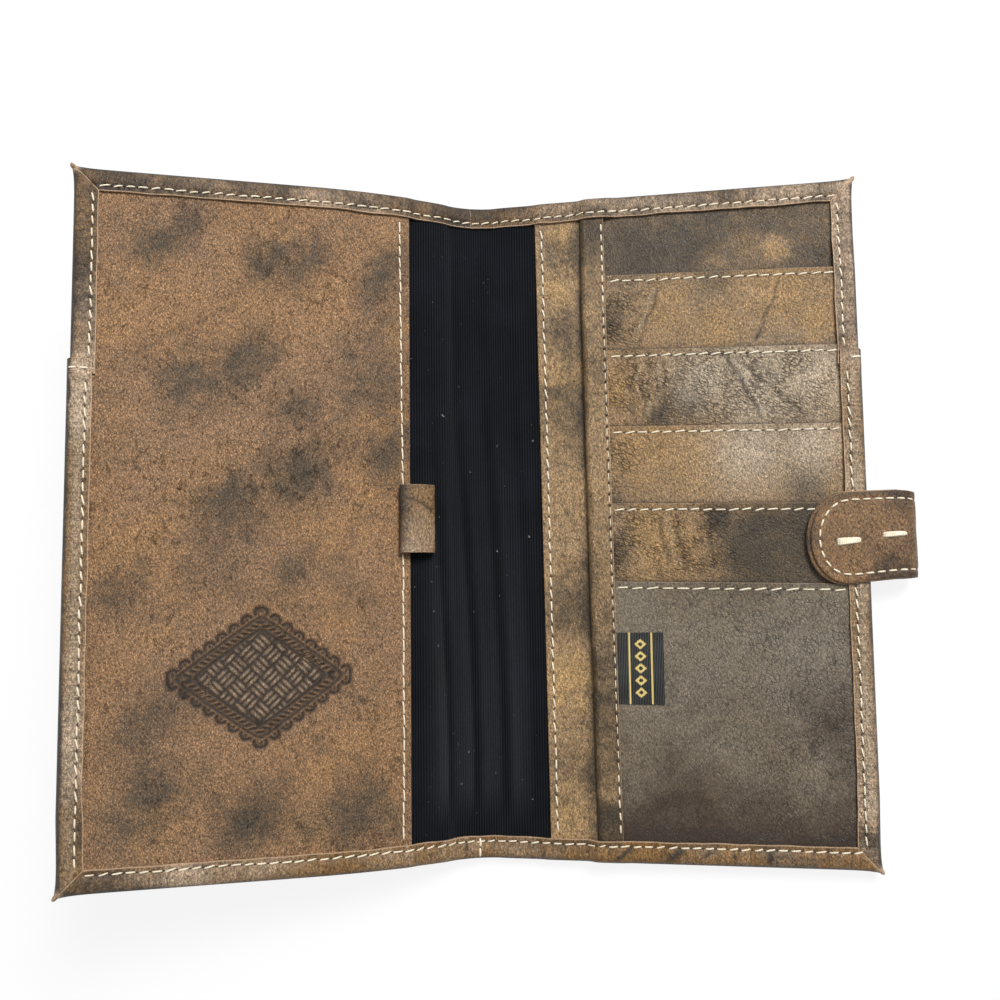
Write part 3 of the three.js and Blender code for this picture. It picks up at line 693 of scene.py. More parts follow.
# %% Ribbed cloth
def ribbed_cloth(name, colour, lint_colour, rib_pitch, gold=None):
    """Cloth with round ribs a pitch apart in mm, a little dust and slight fading. The ribs are painted
    lighter on top and darker between, and a mark on the mesh paints sheen on the tops of folds. Where a
    gold colour is given, it shows where the mesh has the gold_thread mark."""
    finish, tree, shader = new_finish(name)
    sheet_place = add_node(tree, "TexCoord").outputs["UV"]
    object_place = add_node(tree, "TexCoord").outputs["Object"]
    wave_scale = 2 * np.pi / 20 / (rib_pitch / UV_LENGTH)
    rib_shape = {"Scale": wave_scale, "Distortion": 0.6, "Detail Scale": 2.0}
    ribs = add_node(tree, "TexWave", rib_shape, bands_direction="X")
    tree.links.new(sheet_place, ribs.inputs["Vector"])
    faded = noise(tree, object_place, 60, 3, 0.6)
    yarn = noise(tree, object_place, 3200, 2, 0.6)
    dust = noise(tree, object_place, 520, 2, 0.5)
    shade = times(tree, remap(tree, faded, 0.3, 0.7, 0.75, 1.3), remap(tree, yarn, 0.3, 0.7, 0.7, 1.3))
    # The ribs are painted lighter on their tops and darker between them: painted highlight and shade, on top
    # of the bump.
    shade = times(tree, shade, remap(tree, ribs.outputs["Fac"], 0.0, 1.0, 0.15, 1.85))
    paint = blend_colour(tree, 1.0, colour, shade, "MULTIPLY")
    # Painted sheen on the tops of the lining's folds, where the mesh marks it.
    painted_sheen = times(tree, mark_value(tree, "worn"), remap(tree, yarn, 0.3, 0.7, 0.3, 1.0))
    paint = blend_colour(tree, painted_sheen, paint, tone(62, 64, 68))
    paint = blend_colour(tree, remap(tree, dust, 0.74, 0.80, 0.0, 0.7), paint, lint_colour)
    if gold:
        paint = blend_colour(tree, mark_value(tree, "gold_thread"), paint, gold)
    tree.links.new(paint, shader.inputs["Base Color"])
    shader.inputs["Roughness"].default_value = 0.85
    shader.inputs["Sheen Weight"].default_value = 0.05
    shader.inputs["Specular IOR Level"].default_value = 0.06
    add_bump(tree, shader, plus(tree, ribs.outputs["Fac"], times(tree, yarn, 0.6)), 1.0, 0.16)
    return finish


lining_cloth = ribbed_cloth("lining_cloth", tone(14, 16, 20), tone(150, 152, 155), 1.0)
woven_cloth = ribbed_cloth("woven_cloth", tone(54, 55, 54), tone(80, 80, 80), 0.6, tone(214, 190, 120))
print("cloths:", lining_cloth.name, woven_cloth.name)


# %% Thread
def twisted_thread(name, colour, soil_and_shade):
    """Waxed thread: plies that wind round it as slanted bands, with a little soiling, and painted shade in
    the grooves between the plies.
    """
    finish, tree, shader = new_finish(name)
    plies = add_node(tree, "TexWave", {"Scale": 1.6}, bands_direction="DIAGONAL")
    tree.links.new(add_node(tree, "TexCoord").outputs["UV"], plies.inputs["Vector"])
    soil = noise(tree, add_node(tree, "TexCoord").outputs["Object"], 140, 3, 0.6)
    paint = blend_colour(tree, remap(tree, soil, 0.45, 0.75, 0.0, 0.45), colour, soil_and_shade)
    # Painted shade in the grooves between the plies.
    paint = blend_colour(tree, remap(tree, plies.outputs["Fac"], 0.0, 0.5, 0.35, 0.0), paint, soil_and_shade)
    tree.links.new(paint, shader.inputs["Base Color"])
    shader.inputs["Roughness"].default_value = 0.6
    add_bump(tree, shader, plies.outputs["Fac"], 0.8, 0.12)
    return finish


cream_thread = twisted_thread("cream_thread", tone(236, 226, 202), tone(176, 154, 120))
# Dark beads that stand for the shade inside each needle hole: painted shade.
hole_shade_beads = twisted_thread("needle_hole_shade", tone(52, 42, 34), tone(38, 31, 26))
print("threads:", cream_thread.name, hole_shade_beads.name)


# %% Board and metal inside the leather
def speckled(name, colour, fleck, scale, roughness, metallic=0.0):
    """A plain stiff material with flecks, for the boards and plates inside the leather."""
    finish, tree, shader = new_finish(name)
    flecks = noise(tree, add_node(tree, "TexCoord").outputs["Object"], scale, 4, 0.6)
    paint = blend_colour(tree, remap(tree, flecks, 0.4, 0.7, 0.0, 1.0), colour, fleck)
    tree.links.new(paint, shader.inputs["Base Color"])
    shader.inputs["Roughness"].default_value = roughness
    shader.inputs["Metallic"].default_value = metallic
    add_bump(tree, shader, flecks, 0.5, 0.05)
    return finish


board_finish = speckled("leatherboard", tone(120, 92, 66), tone(88, 66, 48), 900, 0.85)
plate_finish = speckled("closure_metal", tone(150, 150, 152), tone(120, 120, 124), 400, 0.35, 1.0)
inner_nodes = {"front_board": board_finish, "back_board": board_finish}
inner_nodes.update({"catch_plate": plate_finish, "closure_magnet": plate_finish})
for node_name, node_finish in inner_nodes.items():
    node_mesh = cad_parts[node_name].data
    node_mesh.materials.clear()
    node_mesh.materials.append(node_finish)
print("finished inner nodes:", sorted(inner_nodes))

# %% [markdown]
# ## Outer hide
# One hide wraps both covers and the spine. It is cut into two meshes at the middle of the spine,
# because a piece may bend across only one hinge. The two share their edge there, and both follow the
# spine at that edge, so the cut never opens.

# %% Make the outer hide
HIDE = 1.2


def make_hide(name, start, end, holder, nodes):
    """Half of the outer hide, from one end along the sheet to the other."""
    along, across = grid(edged(start, end, 2.0), edged(-PANEL_HALF, PANEL_HALF, 2.5))
    away_from_ends = np.clip((along - start) * (end - along) / 60, 0, 1)
    outer = 0.12 * hills(along, across, 26, 1.0) * away_from_ends
    dark = 0.3 + 0.3 * hills(along, across, 60, 3.0)
    inner = np.full_like(along, HIDE)
    piece = make_slab(name, along, across, inner, outer, cover_leather, dark_spot=dark)
    return settle(piece, holder, nodes)


FRONT_SPAN = (LEFT_EDGE + INSET, SPINE_MIDDLE, FRONT_HINGE)
BACK_SPAN = (SPINE_MIDDLE, RIGHT_EDGE - INSET, BACK_HINGE)
make_hide("hide_front", *FRONT_SPAN, ["front_cover_leather", "spine_leather"])
make_hide("hide_back", *BACK_SPAN, ["back_cover_leather", "spine_leather"])

# %% [markdown]
# ## Ribbed lining
# The black lining is the largest piece of cloth. It lies over the boards, dips into the spine and
# gathers into soft folds that run from top to bottom and grow towards the lower edge. The folds are
# sine waves whose height fades out under the leather panels, which hold the cloth flat.

# %% Make the lining
LINING = 0.4
LINING_PLACES = [-34, -28, -24, -20, -3, 1, 5, 11]
LINING_LEVELS = [2.8, 3.2, 3.2, 1.9, 1.9, 3.2, 3.2, 2.8]


def lining_folds(along, across):
    """Height of the soft folds in the open part of the lining, which grow towards the lower edge."""
    open_part = np.clip((along + 35) / 8, 0, 1) * np.clip((15 - along) / 8, 0, 1)
    lower = np.clip((70 - across) / 150, 0.12, 1)
    lean = along + 0.03 * across + 1.5 * np.sin(across / 40)
    folds = np.sin(2 * np.pi * lean / 11.5) + 0.5 * np.sin(2 * np.pi * lean / 6.1 + 1.0)
    ends = np.clip((112 - np.abs(across)) / 14, 0, 1)
    return open_part * lower * ends * np.clip(folds + 1.3, 0, None)


def lining_level(along, across):
    """Top of the cloth: high over the ends of the boards, low in the spine, with its folds."""
    return np.interp(along, LINING_PLACES, LINING_LEVELS) + 0.8 * lining_folds(along, across)


def make_lining(name, start, end, holder, nodes):
    """Half of the lining cloth, with closer grid lines where it shows."""
    shown = np.linspace(max(start, -40), min(end, 20), 90)
    hidden = np.linspace(start, end, 24)
    lines = np.unique(np.concatenate([shown, hidden]))
    along, across = grid(lines, np.linspace(-PANEL_HALF, PANEL_HALF, 120))
    top = lining_level(along, across)
    # Painted sheen on the tops of the folds.
    painted_sheen = 0.16 * lining_folds(along, across)
    piece = make_slab(name, along, across, top, top - LINING, lining_cloth, worn=painted_sheen)
    return settle(piece, holder, nodes)


lining_front = make_lining("lining_front", *FRONT_SPAN, ["front_lining", "spine_lining"])
lining_back = make_lining("lining_back", *BACK_SPAN, ["back_lining", "spine_lining"])

# %% [markdown]
# ## Front pocket panel and its stamped lozenge
# The panel is one piece of soft leather, open along its right edge as a pocket. Its ornament is a plain
# lozenge of basket weave inside a rope border, pressed in with hand stamps, a traditional pattern.
# The stamping is real depth in the mesh, so the grid has much closer lines there, and the same
# function marks the pressed places as burnished.

# %% Stamped lozenge
LOZENGE_MIDDLE = (-91.5, -55.0)
LOZENGE_HALF = (37.0, 27.0)
STAMP_DEPTH = 0.75
WEAVE_CELL = 5.6
MOONS_A_SIDE = 9


def basket_weave(along, across):
    """Height of the weave's bars, from 0 to 1: square cells on the diagonal that turn by a quarter from
    one to the next, each with three round bars that sink at their ends."""
    first = (along + across) / np.sqrt(2) / WEAVE_CELL
    second = (along - across) / np.sqrt(2) / WEAVE_CELL
    is_turned = (np.floor(first) + np.floor(second)) % 2 > 0
    sideways = np.where(is_turned, first, second)
    lengthwise = np.where(is_turned, second, first) % 1
    return np.abs(np.sin(3 * np.pi * sideways)) * np.sqrt(np.clip(np.sin(np.pi * lengthwise), 0, 1))


def half_moons(edge_run, outside, pitch):
    """A row of half rings along the lozenge's edge, each with a seed in it."""
    moon_side = (edge_run / pitch - np.floor(edge_run / pitch) - 0.5) * pitch
    from_moon = np.hypot(moon_side, outside + 3.0)
    moons = np.exp(-(((from_moon - 1.75) / 0.75) ** 2)) * np.clip((outside + 3.3) / 0.4, 0, 1)
    seeds = np.clip(1.2 - np.hypot(moon_side, outside + 2.6) / 0.75, 0, 1)
    return moons + 0.9 * seeds


def stamped_lozenge(along, across):
    """Height and burnished darkening of the stamping, and where its raised tops are.
    A lozenge is where the two shares of its half sizes add up to less than one, so their sum gives the
    distance outside its edge. The weave lies inside. Round it run a groove, a rope of slanted beads, a
    second groove and the half moons."""
    along = along - LOZENGE_MIDDLE[0]
    across = across - LOZENGE_MIDDLE[1]
    half_wide, half_high = LOZENGE_HALF
    side = np.sqrt(along**2 + 2.0)
    rise = np.sqrt(across**2 + 2.0)
    slant = np.hypot(half_wide, half_high)
    outside = (side / half_wide + rise / half_high - 1) * half_wide * half_high / slant
    edge_run = (rise * half_high - side * half_wide) / slant

    inside = np.clip((-8.2 - outside) / 0.5, 0, 1)
    bar = basket_weave(along, across)
    beads = 0.5 + 0.5 * np.sin(2 * np.pi * (edge_run + 0.8 * outside) / 2.1)
    rope = np.exp(-(((outside + 5.9) / 0.95) ** 4))
    grooves = np.exp(-(((outside + 7.7) / 0.75) ** 2)) + np.exp(-(((outside + 4.1) / 0.75) ** 2))
    pressed = inside * (1 - 0.8 * bar) + rope * (1 - 0.95 * beads) + 0.9 * grooves
    pressed = pressed + half_moons(edge_run, outside, slant / MOONS_A_SIDE)
    field = np.clip((-4.0 - outside) / 0.8, 0, 1)
    height = -STAMP_DEPTH * np.clip(0.25 * field + pressed, 0, 1.15)
    burnish = np.clip(0.2 * field * (1 - bar * inside) + np.clip(pressed, 0, 1), 0, 0.97)
    return height, burnish, field * bar * inside


print("lozenge, width and height in mm:", [2 * half for half in LOZENGE_HALF])


# %% Creases and scratches
def crease(along, across, start, end, width):
    """A groove along a slightly wavy line: a bell curve of the distance from it that fades at its ends."""
    start, end = np.array(start), np.array(end)
    way = (end - start) / np.linalg.norm(end - start)
    from_start = np.stack([along - start[0], across - start[1]], axis=-1)
    run = from_start @ way
    off = from_start @ np.array([-way[1], way[0]])
    off = off + 0.45 * np.sin(run * 0.55 + start[0]) + 0.2 * np.sin(run * 1.7 + start[1])
    length = np.linalg.norm(end - start)
    fade = np.clip(run / 2, 0, 1) * np.clip((length - run) / 2, 0, 1)
    return fade * np.exp(-((off / width) ** 2))


def creased(along, across, lines):
    """Several grooves added up, each line given as (start, end, width)."""
    return sum((crease(along, across, *line) for line in lines), 0 * along)


FRONT_CREASES = [((-117, 71), (-137, 58), 0.9), ((-99, 79), (-116, 71), 0.8), ((-60, 112), (-41, 96), 0.8)]
print("creases on the front panel:", len(FRONT_CREASES))

# %% Surface of the front panel
POCKET_EDGE = -(SPINE_WIDTH + 15.0)
PANEL_LOW, PANEL_TOP = 3.0, 4.0
FRONT_DARK = [
    (-128, 100, 6), (-116, 109, 7), (-91, 94, 7), (-77, 97, 8), (-49, 92, 7), (-97, 61, 8), (-53, 58, 11),
    (-116, 52, 8), (-79, 40, 7), (-78, 17, 12), (-48, 24, 7), (-104, 2, 13), (-78, -19, 8), (-138, -23, 7),
    (-128, -70, 9), (-131, -93, 10), (-96, -101, 9), (-57, -104, 10),
]
FRONT_WARM = [
    (-144, 77, 13), (-88, 106, 8), (-46, 104, 10), (-42, 77, 9), (-46, 39, 11), (-60, -3, 14), (-135, -7, 13),
    (-63, -36, 9), (-123, -36, 9), (-126, -105, 11), (-66, -80, 14),
]


def front_panel_level(along, across):
    """Top of the panel: slightly uneven, and rounded off along its open edge."""
    uneven = 0.16 * hills(along, across, 34, 2.0) + 0.07 * hills(along, across, 11, 5.0)
    return PANEL_TOP + uneven - rounded(POCKET_EDGE - along, 0.5)


def stamped_lines(start, end, middle, half):
    """Grid lines from start to end, with closer ones over the lozenge."""
    close = middle + np.arange(-half - 1, half + 1, 0.36)
    return np.unique(np.concatenate([edged(start, end, 1.5), close]).round(3))


print("open edge of the panel along the sheet in mm:", POCKET_EDGE)

# %% Make the front panel
panel_lines = stamped_lines(LEFT_EDGE + INSET, POCKET_EDGE, LOZENGE_MIDDLE[0], LOZENGE_HALF[0])
panel_rows = stamped_lines(-PANEL_HALF, PANEL_HALF, LOZENGE_MIDDLE[1], LOZENGE_HALF[1])
if len(panel_rows) % 2:
    panel_rows = np.delete(panel_rows, len(panel_rows) // 2)
along, across = grid(panel_lines, panel_rows)
stamp_height, stamp_burnish, stamp_tops = stamped_lozenge(along, across)
panel_grooves = creased(along, across, FRONT_CREASES)
panel_top = front_panel_level(along, across) + stamp_height - 0.3 * panel_grooves
haze = 0.12 * hills(along, across, 48, 4.0)
panel_marks = {
    "dark_spot": 0.18 + haze + 0.5 * soft_spots(along, across, FRONT_DARK, 0.35),
    "warm_spot": 0.7 * soft_spots(along, across, FRONT_WARM, 0.35),
    "worn": 0.7 * stamp_tops,
    "wrinkle": 0.12 + 0.38 * np.clip((across + 40) / 60, 0, 1),
    "burnish": np.clip(stamp_burnish + 0.3 * panel_grooves, 0, 0.95),
    "cut_edge": np.where(along > POCKET_EDGE - 0.2, 1.0, 0.0),
}
end_rows = [0, -1]
panel_points = np.concatenate([lay(along, across, panel_top), lay(along, across, PANEL_LOW)[end_rows]])
panel_marks = {mark: np.concatenate([values, values[end_rows]]) for mark, values in panel_marks.items()}
panel_points = panel_points.reshape(-1, 3)
panel_quads = plate_quads(*along.shape)
front_panel = make_piece("front_pocket", panel_points, panel_quads, panel_leather, marks=panel_marks)
settle(front_panel, "front_cover", ["front_pocket_panel"])

# %% [markdown]
# ## Pen loop
# A short strip of leather, bent into a flat tube and caught under the edge of the front panel.
# Its section is a flattened oval with a wall of one leather thickness, carried across the sheet.

# %% Make the pen loop
LOOP_MIDDLE = -(SPINE_WIDTH + 13.3)
LOOP_WIDTH, LOOP_HEIGHT, LOOP_WALL = 13.2, 5.0, 1.1
LOOP_LOW_Y, LOOP_HIGH_Y = -11.1, 13.9
LOOP_CRACK = ((-6.0, 10.5), (5.5, 4.0), 0.45)


def loop_section(width, height, count):
    """A flattened oval, a power of cosine and sine of the angle, with its right side a little lower."""
    angle = np.linspace(0, 2 * np.pi, count, endpoint=False)
    side = np.sign(np.cos(angle)) * np.abs(np.cos(angle)) ** 0.75 * width / 2
    rise = np.sign(np.sin(angle)) * np.abs(np.sin(angle)) ** 0.75 * height / 2
    return side, rise * (1 - 0.10 * side / width)


def make_pen_loop():
    """Rings of the outer and the inner oval along the loop, closed at both cut ends."""
    count = 48
    run = edged(LOOP_LOW_Y, LOOP_HIGH_Y, 0.8)
    outer_side, outer_rise = loop_section(LOOP_WIDTH, LOOP_HEIGHT, count)
    inner_side, inner_rise = loop_section(LOOP_WIDTH - 2 * LOOP_WALL, LOOP_HEIGHT - 2 * LOOP_WALL, count)
    middle = PANEL_TOP + 0.2 + LOOP_HEIGHT / 2
    rings = []
    for side, rise, stations in ((outer_side, outer_rise, run), (inner_side, inner_rise, run[::-1])):
        across = stations[:, None] + 0 * side
        wave = 0.10 * hills(side[None, :], across, 9, 4.0)
        rings.append(lay(LOOP_MIDDLE + side, across, middle + rise + wave * (rise > 0)))
    points = np.concatenate(rings)
    stations = len(points)
    quads = tube_quads(stations + 1, count) % (stations * count)
    cut = np.zeros(stations)
    cut[[0, len(run) - 1, len(run), stations - 1]] = 1
    # Painted shade: the loop is darkened along its left side, as if lit from the right.
    shaded = 0.05 - 0.7 * np.cos(np.linspace(0, 2 * np.pi, count, endpoint=False))
    there_and_back = np.repeat(np.concatenate([run, run[::-1]]), count)
    crack = crease(np.tile(outer_side, stations), there_and_back, *LOOP_CRACK)
    marks = {
        "cut_edge": np.repeat(cut, count),
        "dark_spot": np.tile(shaded, stations),
        "burnish": np.clip(1.5 * crack, 0, 0.85),
    }
    return make_piece("pen_loop_leather", points.reshape(-1, 3), quads, binding_leather, marks=marks)


settle(make_pen_loop(), "front_cover", ["pen_loop"])

# %% [markdown]
# ## Slip pocket and card leaves
# On the right a slip panel lies lowest, then a backing with four card leaves that overlap like roof
# tiles, then a lower pocket. Each leaf is highest at its mouth, where a card would push it up, and
# slopes down to its foot. Creases and scratches are shallow grooves along a line.

# %% Sizes of the card half
CARD_EDGE = 36.0
CARD_END = RIGHT_EDGE - INSET
EDGE_SLANT = -1.3 / 115
LEAF = 0.6
LEAF_COUNT = 4
LEAF_LOW = 5.0
CARD_BACK_LOW = 4.2
MOUTH_PITCH = 29.0
FIRST_MOUTH = HALF_HEIGHT - 32.5
SLOT_DEPTH = 54.0
LEAF_SLOPE = (LEAF + 0.2) / MOUTH_PITCH
MOUTH_LOW = LEAF_LOW + LEAF_SLOPE * SLOT_DEPTH
print("the card half lies between", CARD_EDGE, "and", round(CARD_END, 1), "mm along the sheet")

# %% Make the slip panel
SLIP_EDGE = 16.5
SLIP_DARK = [(26, 104, 8), (28, 74, 9), (26, 41, 13), (27, -30, 9), (24, -92, 8)]
SLIP_WARM = [(23, 57, 9), (24, 88, 6), (25, -60, 12), (26, 112, 6), (24, -110, 8)]
inside, across = grid(edged(0.0, CARD_END - SLIP_EDGE, 2.0), edged(-PANEL_HALF, PANEL_HALF, 2.2))
slip_top = PANEL_TOP + 0.12 * hills(inside, across, 30, 6.0) - rounded(inside, 0.45)
along = inside + SLIP_EDGE + EDGE_SLANT * across * np.clip(1 - inside / 40, 0, 1)
# Painted shadow of the trim: the slip panel darkens towards the trim's edge.
trim_shadow = np.exp(-np.clip(33 - along, 0, None) / 2)
slip_panel = make_slab(
    "slip_pocket", along, across, slip_top, np.full_like(along, PANEL_LOW), slip_leather,
    dark_spot=0.12 + 0.5 * soft_spots(along, across, SLIP_DARK) + 0.45 * trim_shadow,
    warm_spot=soft_spots(along, across, SLIP_WARM),
)
settle(slip_panel, "back_cover", ["slip_pocket_panel"])


# %% Make the card backing
def mouth_line(along):
    """How far the sewn mouths dip from left to right, as the cards have pulled them."""
    return 1.0 - 2.2 * (along - CARD_EDGE) / (CARD_END - CARD_EDGE)


def mouth_shade(above):
    """Painted shade on a leaf, just above the mouth of the next one, darkest at the mouth line."""
    return 0.8 * np.exp(-np.clip(above, 0, None) / 0.8)


BACKING_SPOT = (106.0, 100.5, 2.6)
along, across = grid(edged(CARD_EDGE, CARD_END, 1.0), edged(FIRST_MOUTH - 40, PANEL_HALF, 0.6))
back_top = CARD_BACK_LOW + LEAF + 0.10 * hills(along, across, 25, 7.0)
orange_spot = soft_spots(along, across, [BACKING_SPOT])
card_back = make_slab(
    "card_backing", along, across, back_top, np.full_like(along, CARD_BACK_LOW), card_leather,
    dark_spot=0.72 + 0.12 * hills(along, across, 40, 2.0) - 1.5 * orange_spot,
    wrinkle=np.full_like(along, 0.3),
    warm_spot=1.4 * orange_spot,
    # Painted shade just above the mouth of the first leaf.
    burnish=mouth_shade(across - FIRST_MOUTH - mouth_line(along)),
)
settle(card_back, "back_cover", ["card_panel_back"])

# %% [markdown]
# ## Marks on the card leaves
# Years of cards have left each leaf its own stains, wrinkles and folds, and each leaf also gets painted
# sheen and painted highlights along raised ridges. They could be painted in a picture. Here each is a place
# and a reach, or a line with a width, in millimetres on the sheet, listed leaf by leaf from the top, so one
# loop can lay them on all four leaves.

# %% Stains and painted sheen of the leaves
LEAF_SMOKE = [0.08, 0.08, 0.08, 0.36]
LEAF_DARK = [
    [(44, 76, 7), (128, 90, 5), (84, 90, 8)],
    [(72, 46, 8), (62, 38, 5)],
    [(112, 10, 8), (44, 8, 5)],
    [(98, -12, 14), (116, -8, 13), (42, -12, 6), (82, 0, 5)],
]
LEAF_WARM = [
    [(65, 79, 8), (106, 82, 10), (84, 70, 9), (120, 72, 8)],
    [(45, 50, 8), (122, 46, 7)],
    [(55, 27, 13), (72, 20, 10)],
    [(61, -8, 12)],
]
# Painted sheen: pale places on leaves 2 and 3 where the reflection of a lamp falls.
LEAF_SHEEN = [
    [],
    [(98, 50, 15), (118, 50, 11), (80, 52, 9)],
    [(94, 24, 10), (116, 26, 8)],
    [],
]
LEAF_WRINKLED = [
    [(46, 76, 9)],
    [(56, 50, 12), (84, 50, 14), (104, 50, 14)],
    [(44, 22, 8)],
    [(50, -8, 12), (72, -8, 12)],
]
print("stains on each leaf:", [len(dark) + len(warm) for dark, warm in zip(LEAF_DARK, LEAF_WARM)])

# %% Folds of the leaves
LEAF_CREASES = [
    [((107, 88), (97, 64.5), 0.55), ((99, 69), (97, 64.5), 0.6), ((63, 88), (54, 66), 0.4)],
    [
        ((86, 62.5), (99, 35.5), 0.65), ((89, 60), (115, 36), 0.6), ((84, 62), (94, 45), 0.45),
        ((92, 62), (106, 49), 0.4), ((53, 60), (51, 47), 0.4), ((55, 55), (56, 37), 0.4),
        ((58, 61), (57.5, 44), 0.4), ((61, 53), (62, 36), 0.4), ((64, 60), (63, 43), 0.35),
        ((51, 44), (52, 36), 0.35),
    ],
    [],
    [((66, 3), (70, -20), 0.6), ((60, 1), (64, -18), 0.5), ((78, 2), (80, -20), 0.5)],
]
LEAF_RIDGES = [
    [((61, 88), (52, 65), 0.6)],
    [
        ((87.6, 62), (100.5, 36), 0.5), ((54.5, 59), (53, 45), 0.5), ((57, 54), (58, 38), 0.5),
        ((62, 60), (61, 44), 0.5),
    ],
    [],
    [((63, 2), (67, -19), 0.5)],
]
print("creases on each leaf:", [len(lines) for lines in LEAF_CREASES])


# %% Make the card leaves
def leaf_level(down):
    """Top of a leaf at a distance down from its mouth."""
    return MOUTH_LOW + LEAF - LEAF_SLOPE * down


def leaf_lift(along, across, down, number):
    """How far a leaf stands off: a lip that curls up at its mouth, with a slow wave along it."""
    wave = 0.22 * hills(along, across, 22, number + 1.0) * np.exp(-down / 12)
    return wave + 0.35 * np.exp(-down / 2.5)


for number in range(LEAF_COUNT):
    mouth = FIRST_MOUTH - number * MOUTH_PITCH
    along, down = grid(edged(CARD_EDGE, CARD_END, 0.8), edged(0.0, SLOT_DEPTH - 2, 0.8))
    across = mouth + mouth_line(along) - down
    grooves = creased(along, across, LEAF_CREASES[number])
    ridges = creased(along, across, LEAF_RIDGES[number])
    level = leaf_level(down) + leaf_lift(along, across, down, number)
    top = level - rounded(down, 0.3) - 0.35 * np.clip(grooves, 0, 1.2) + 0.25 * ridges
    warm = soft_spots(along, across, LEAF_WARM[number])
    leaf_piece = make_slab(
        f"card_leaf_{number + 1}_leather", along, across, top, level - LEAF, card_leather,
        dark_spot=LEAF_SMOKE[number] + 0.65 * soft_spots(along, across, LEAF_DARK[number]) - 0.55 * warm,
        warm_spot=warm,
        # Painted sheen, and a painted highlight along each raised ridge.
        worn=soft_spots(along, across, LEAF_SHEEN[number]) + 0.5 * ridges,
        wrinkle=0.3 + soft_spots(along, across, LEAF_WRINKLED[number]),
        # Painted shade above the next leaf's mouth, and darker creases.
        burnish=np.clip(mouth_shade(MOUTH_PITCH - down) + 0.7 * grooves, 0, 0.85),
    )
    settle(leaf_piece, "back_cover", [f"card_leaf_{number + 1}"])

# %% [markdown]
# ## Lower pocket
# The last panel of the stack is a pocket about 100 mm deep that opens at the top. It is made like a
# leaf, with a swell of its own, fine wrinkles towards its right side, and painted shade at its foot.

# %% Make the lower pocket
POCKET_MOUTH = FIRST_MOUTH - LEAF_COUNT * MOUTH_PITCH
POCKET_DEPTH = POCKET_MOUTH + PANEL_HALF
POCKET_SLOPE = (MOUTH_LOW - LEAF_LOW) / POCKET_DEPTH
POCKET_WARM = [(120, -70, 12)]


def pocket_level(down):
    """Top of the lower pocket at a distance down from its mouth."""
    return MOUTH_LOW + LEAF - POCKET_SLOPE * down


along, down = grid(edged(CARD_EDGE, CARD_END, 1.0), edged(0.0, POCKET_DEPTH - 3, 1.0))
across = POCKET_MOUTH + mouth_line(along) - down
swell = 0.25 * hills(along, across, 30, 9.0) * np.clip(down / 10, 0.3, 1)
swell = swell + 0.10 * hills(along, across * 0.4, 7, 3.0) * np.clip((along - 75) / 40, 0, 1)
swell = swell + 0.35 * np.exp(-down / 2.5)
above_edge = across + HALF_HEIGHT
# Painted shade at the pocket's foot next to the binding: a broad darkening and a dark line along the edge.
foot_shadow = np.exp(-np.clip(above_edge - 8, 0, None) / 20)
foot_shade_line = np.exp(-np.clip(above_edge - 9, 0, None) / 4)
pocket_top = pocket_level(down) + swell - rounded(down, 0.3)
lower_pocket = make_slab(
    "lower_pocket_leather", along, across, pocket_top, pocket_level(down) + swell - LEAF, pocket_leather,
    dark_spot=0.25 + 0.2 * hills(along, across, 60, 1.0) + 0.8 * foot_shadow,
    warm_spot=soft_spots(along, across, POCKET_WARM) * 0.4,
    wrinkle=0.35 + 0.65 * np.clip((along + 0.4 * across - 25) / 50, 0, 1),
    burnish=0.45 * foot_shade_line,
)
settle(lower_pocket, "back_cover", ["lower_pocket"])

# %% [markdown]
# ## Turned trim beside the cards
# A strip is turned over the left edge of the whole card stack and sewn down. Its section is a flat
# part, a quarter turn and a short wall. The trim climbs where the leaves are thickest.

# %% Make the trim
TRIM_EDGE, TRIM_WIDTH, TRIM, TRIM_ROUND = 34.0, 9.3, 0.9, 2.2
TRIM_HALF = 117.0
TRIM_PLACES = [-117, -100, -25, 90, 102, 117]
TRIM_LEVELS = [6.5, 6.9, 8.1, 8.1, 6.6, 6.0]


def trim_top(across):
    """Top of the trim: high over the leaves, lower where it runs under the edge binding."""
    return np.interp(across, TRIM_PLACES, TRIM_LEVELS)


def trim_left(across):
    """The trim's left edge, which leans a little from top to bottom."""
    return TRIM_EDGE + EDGE_SLANT * across


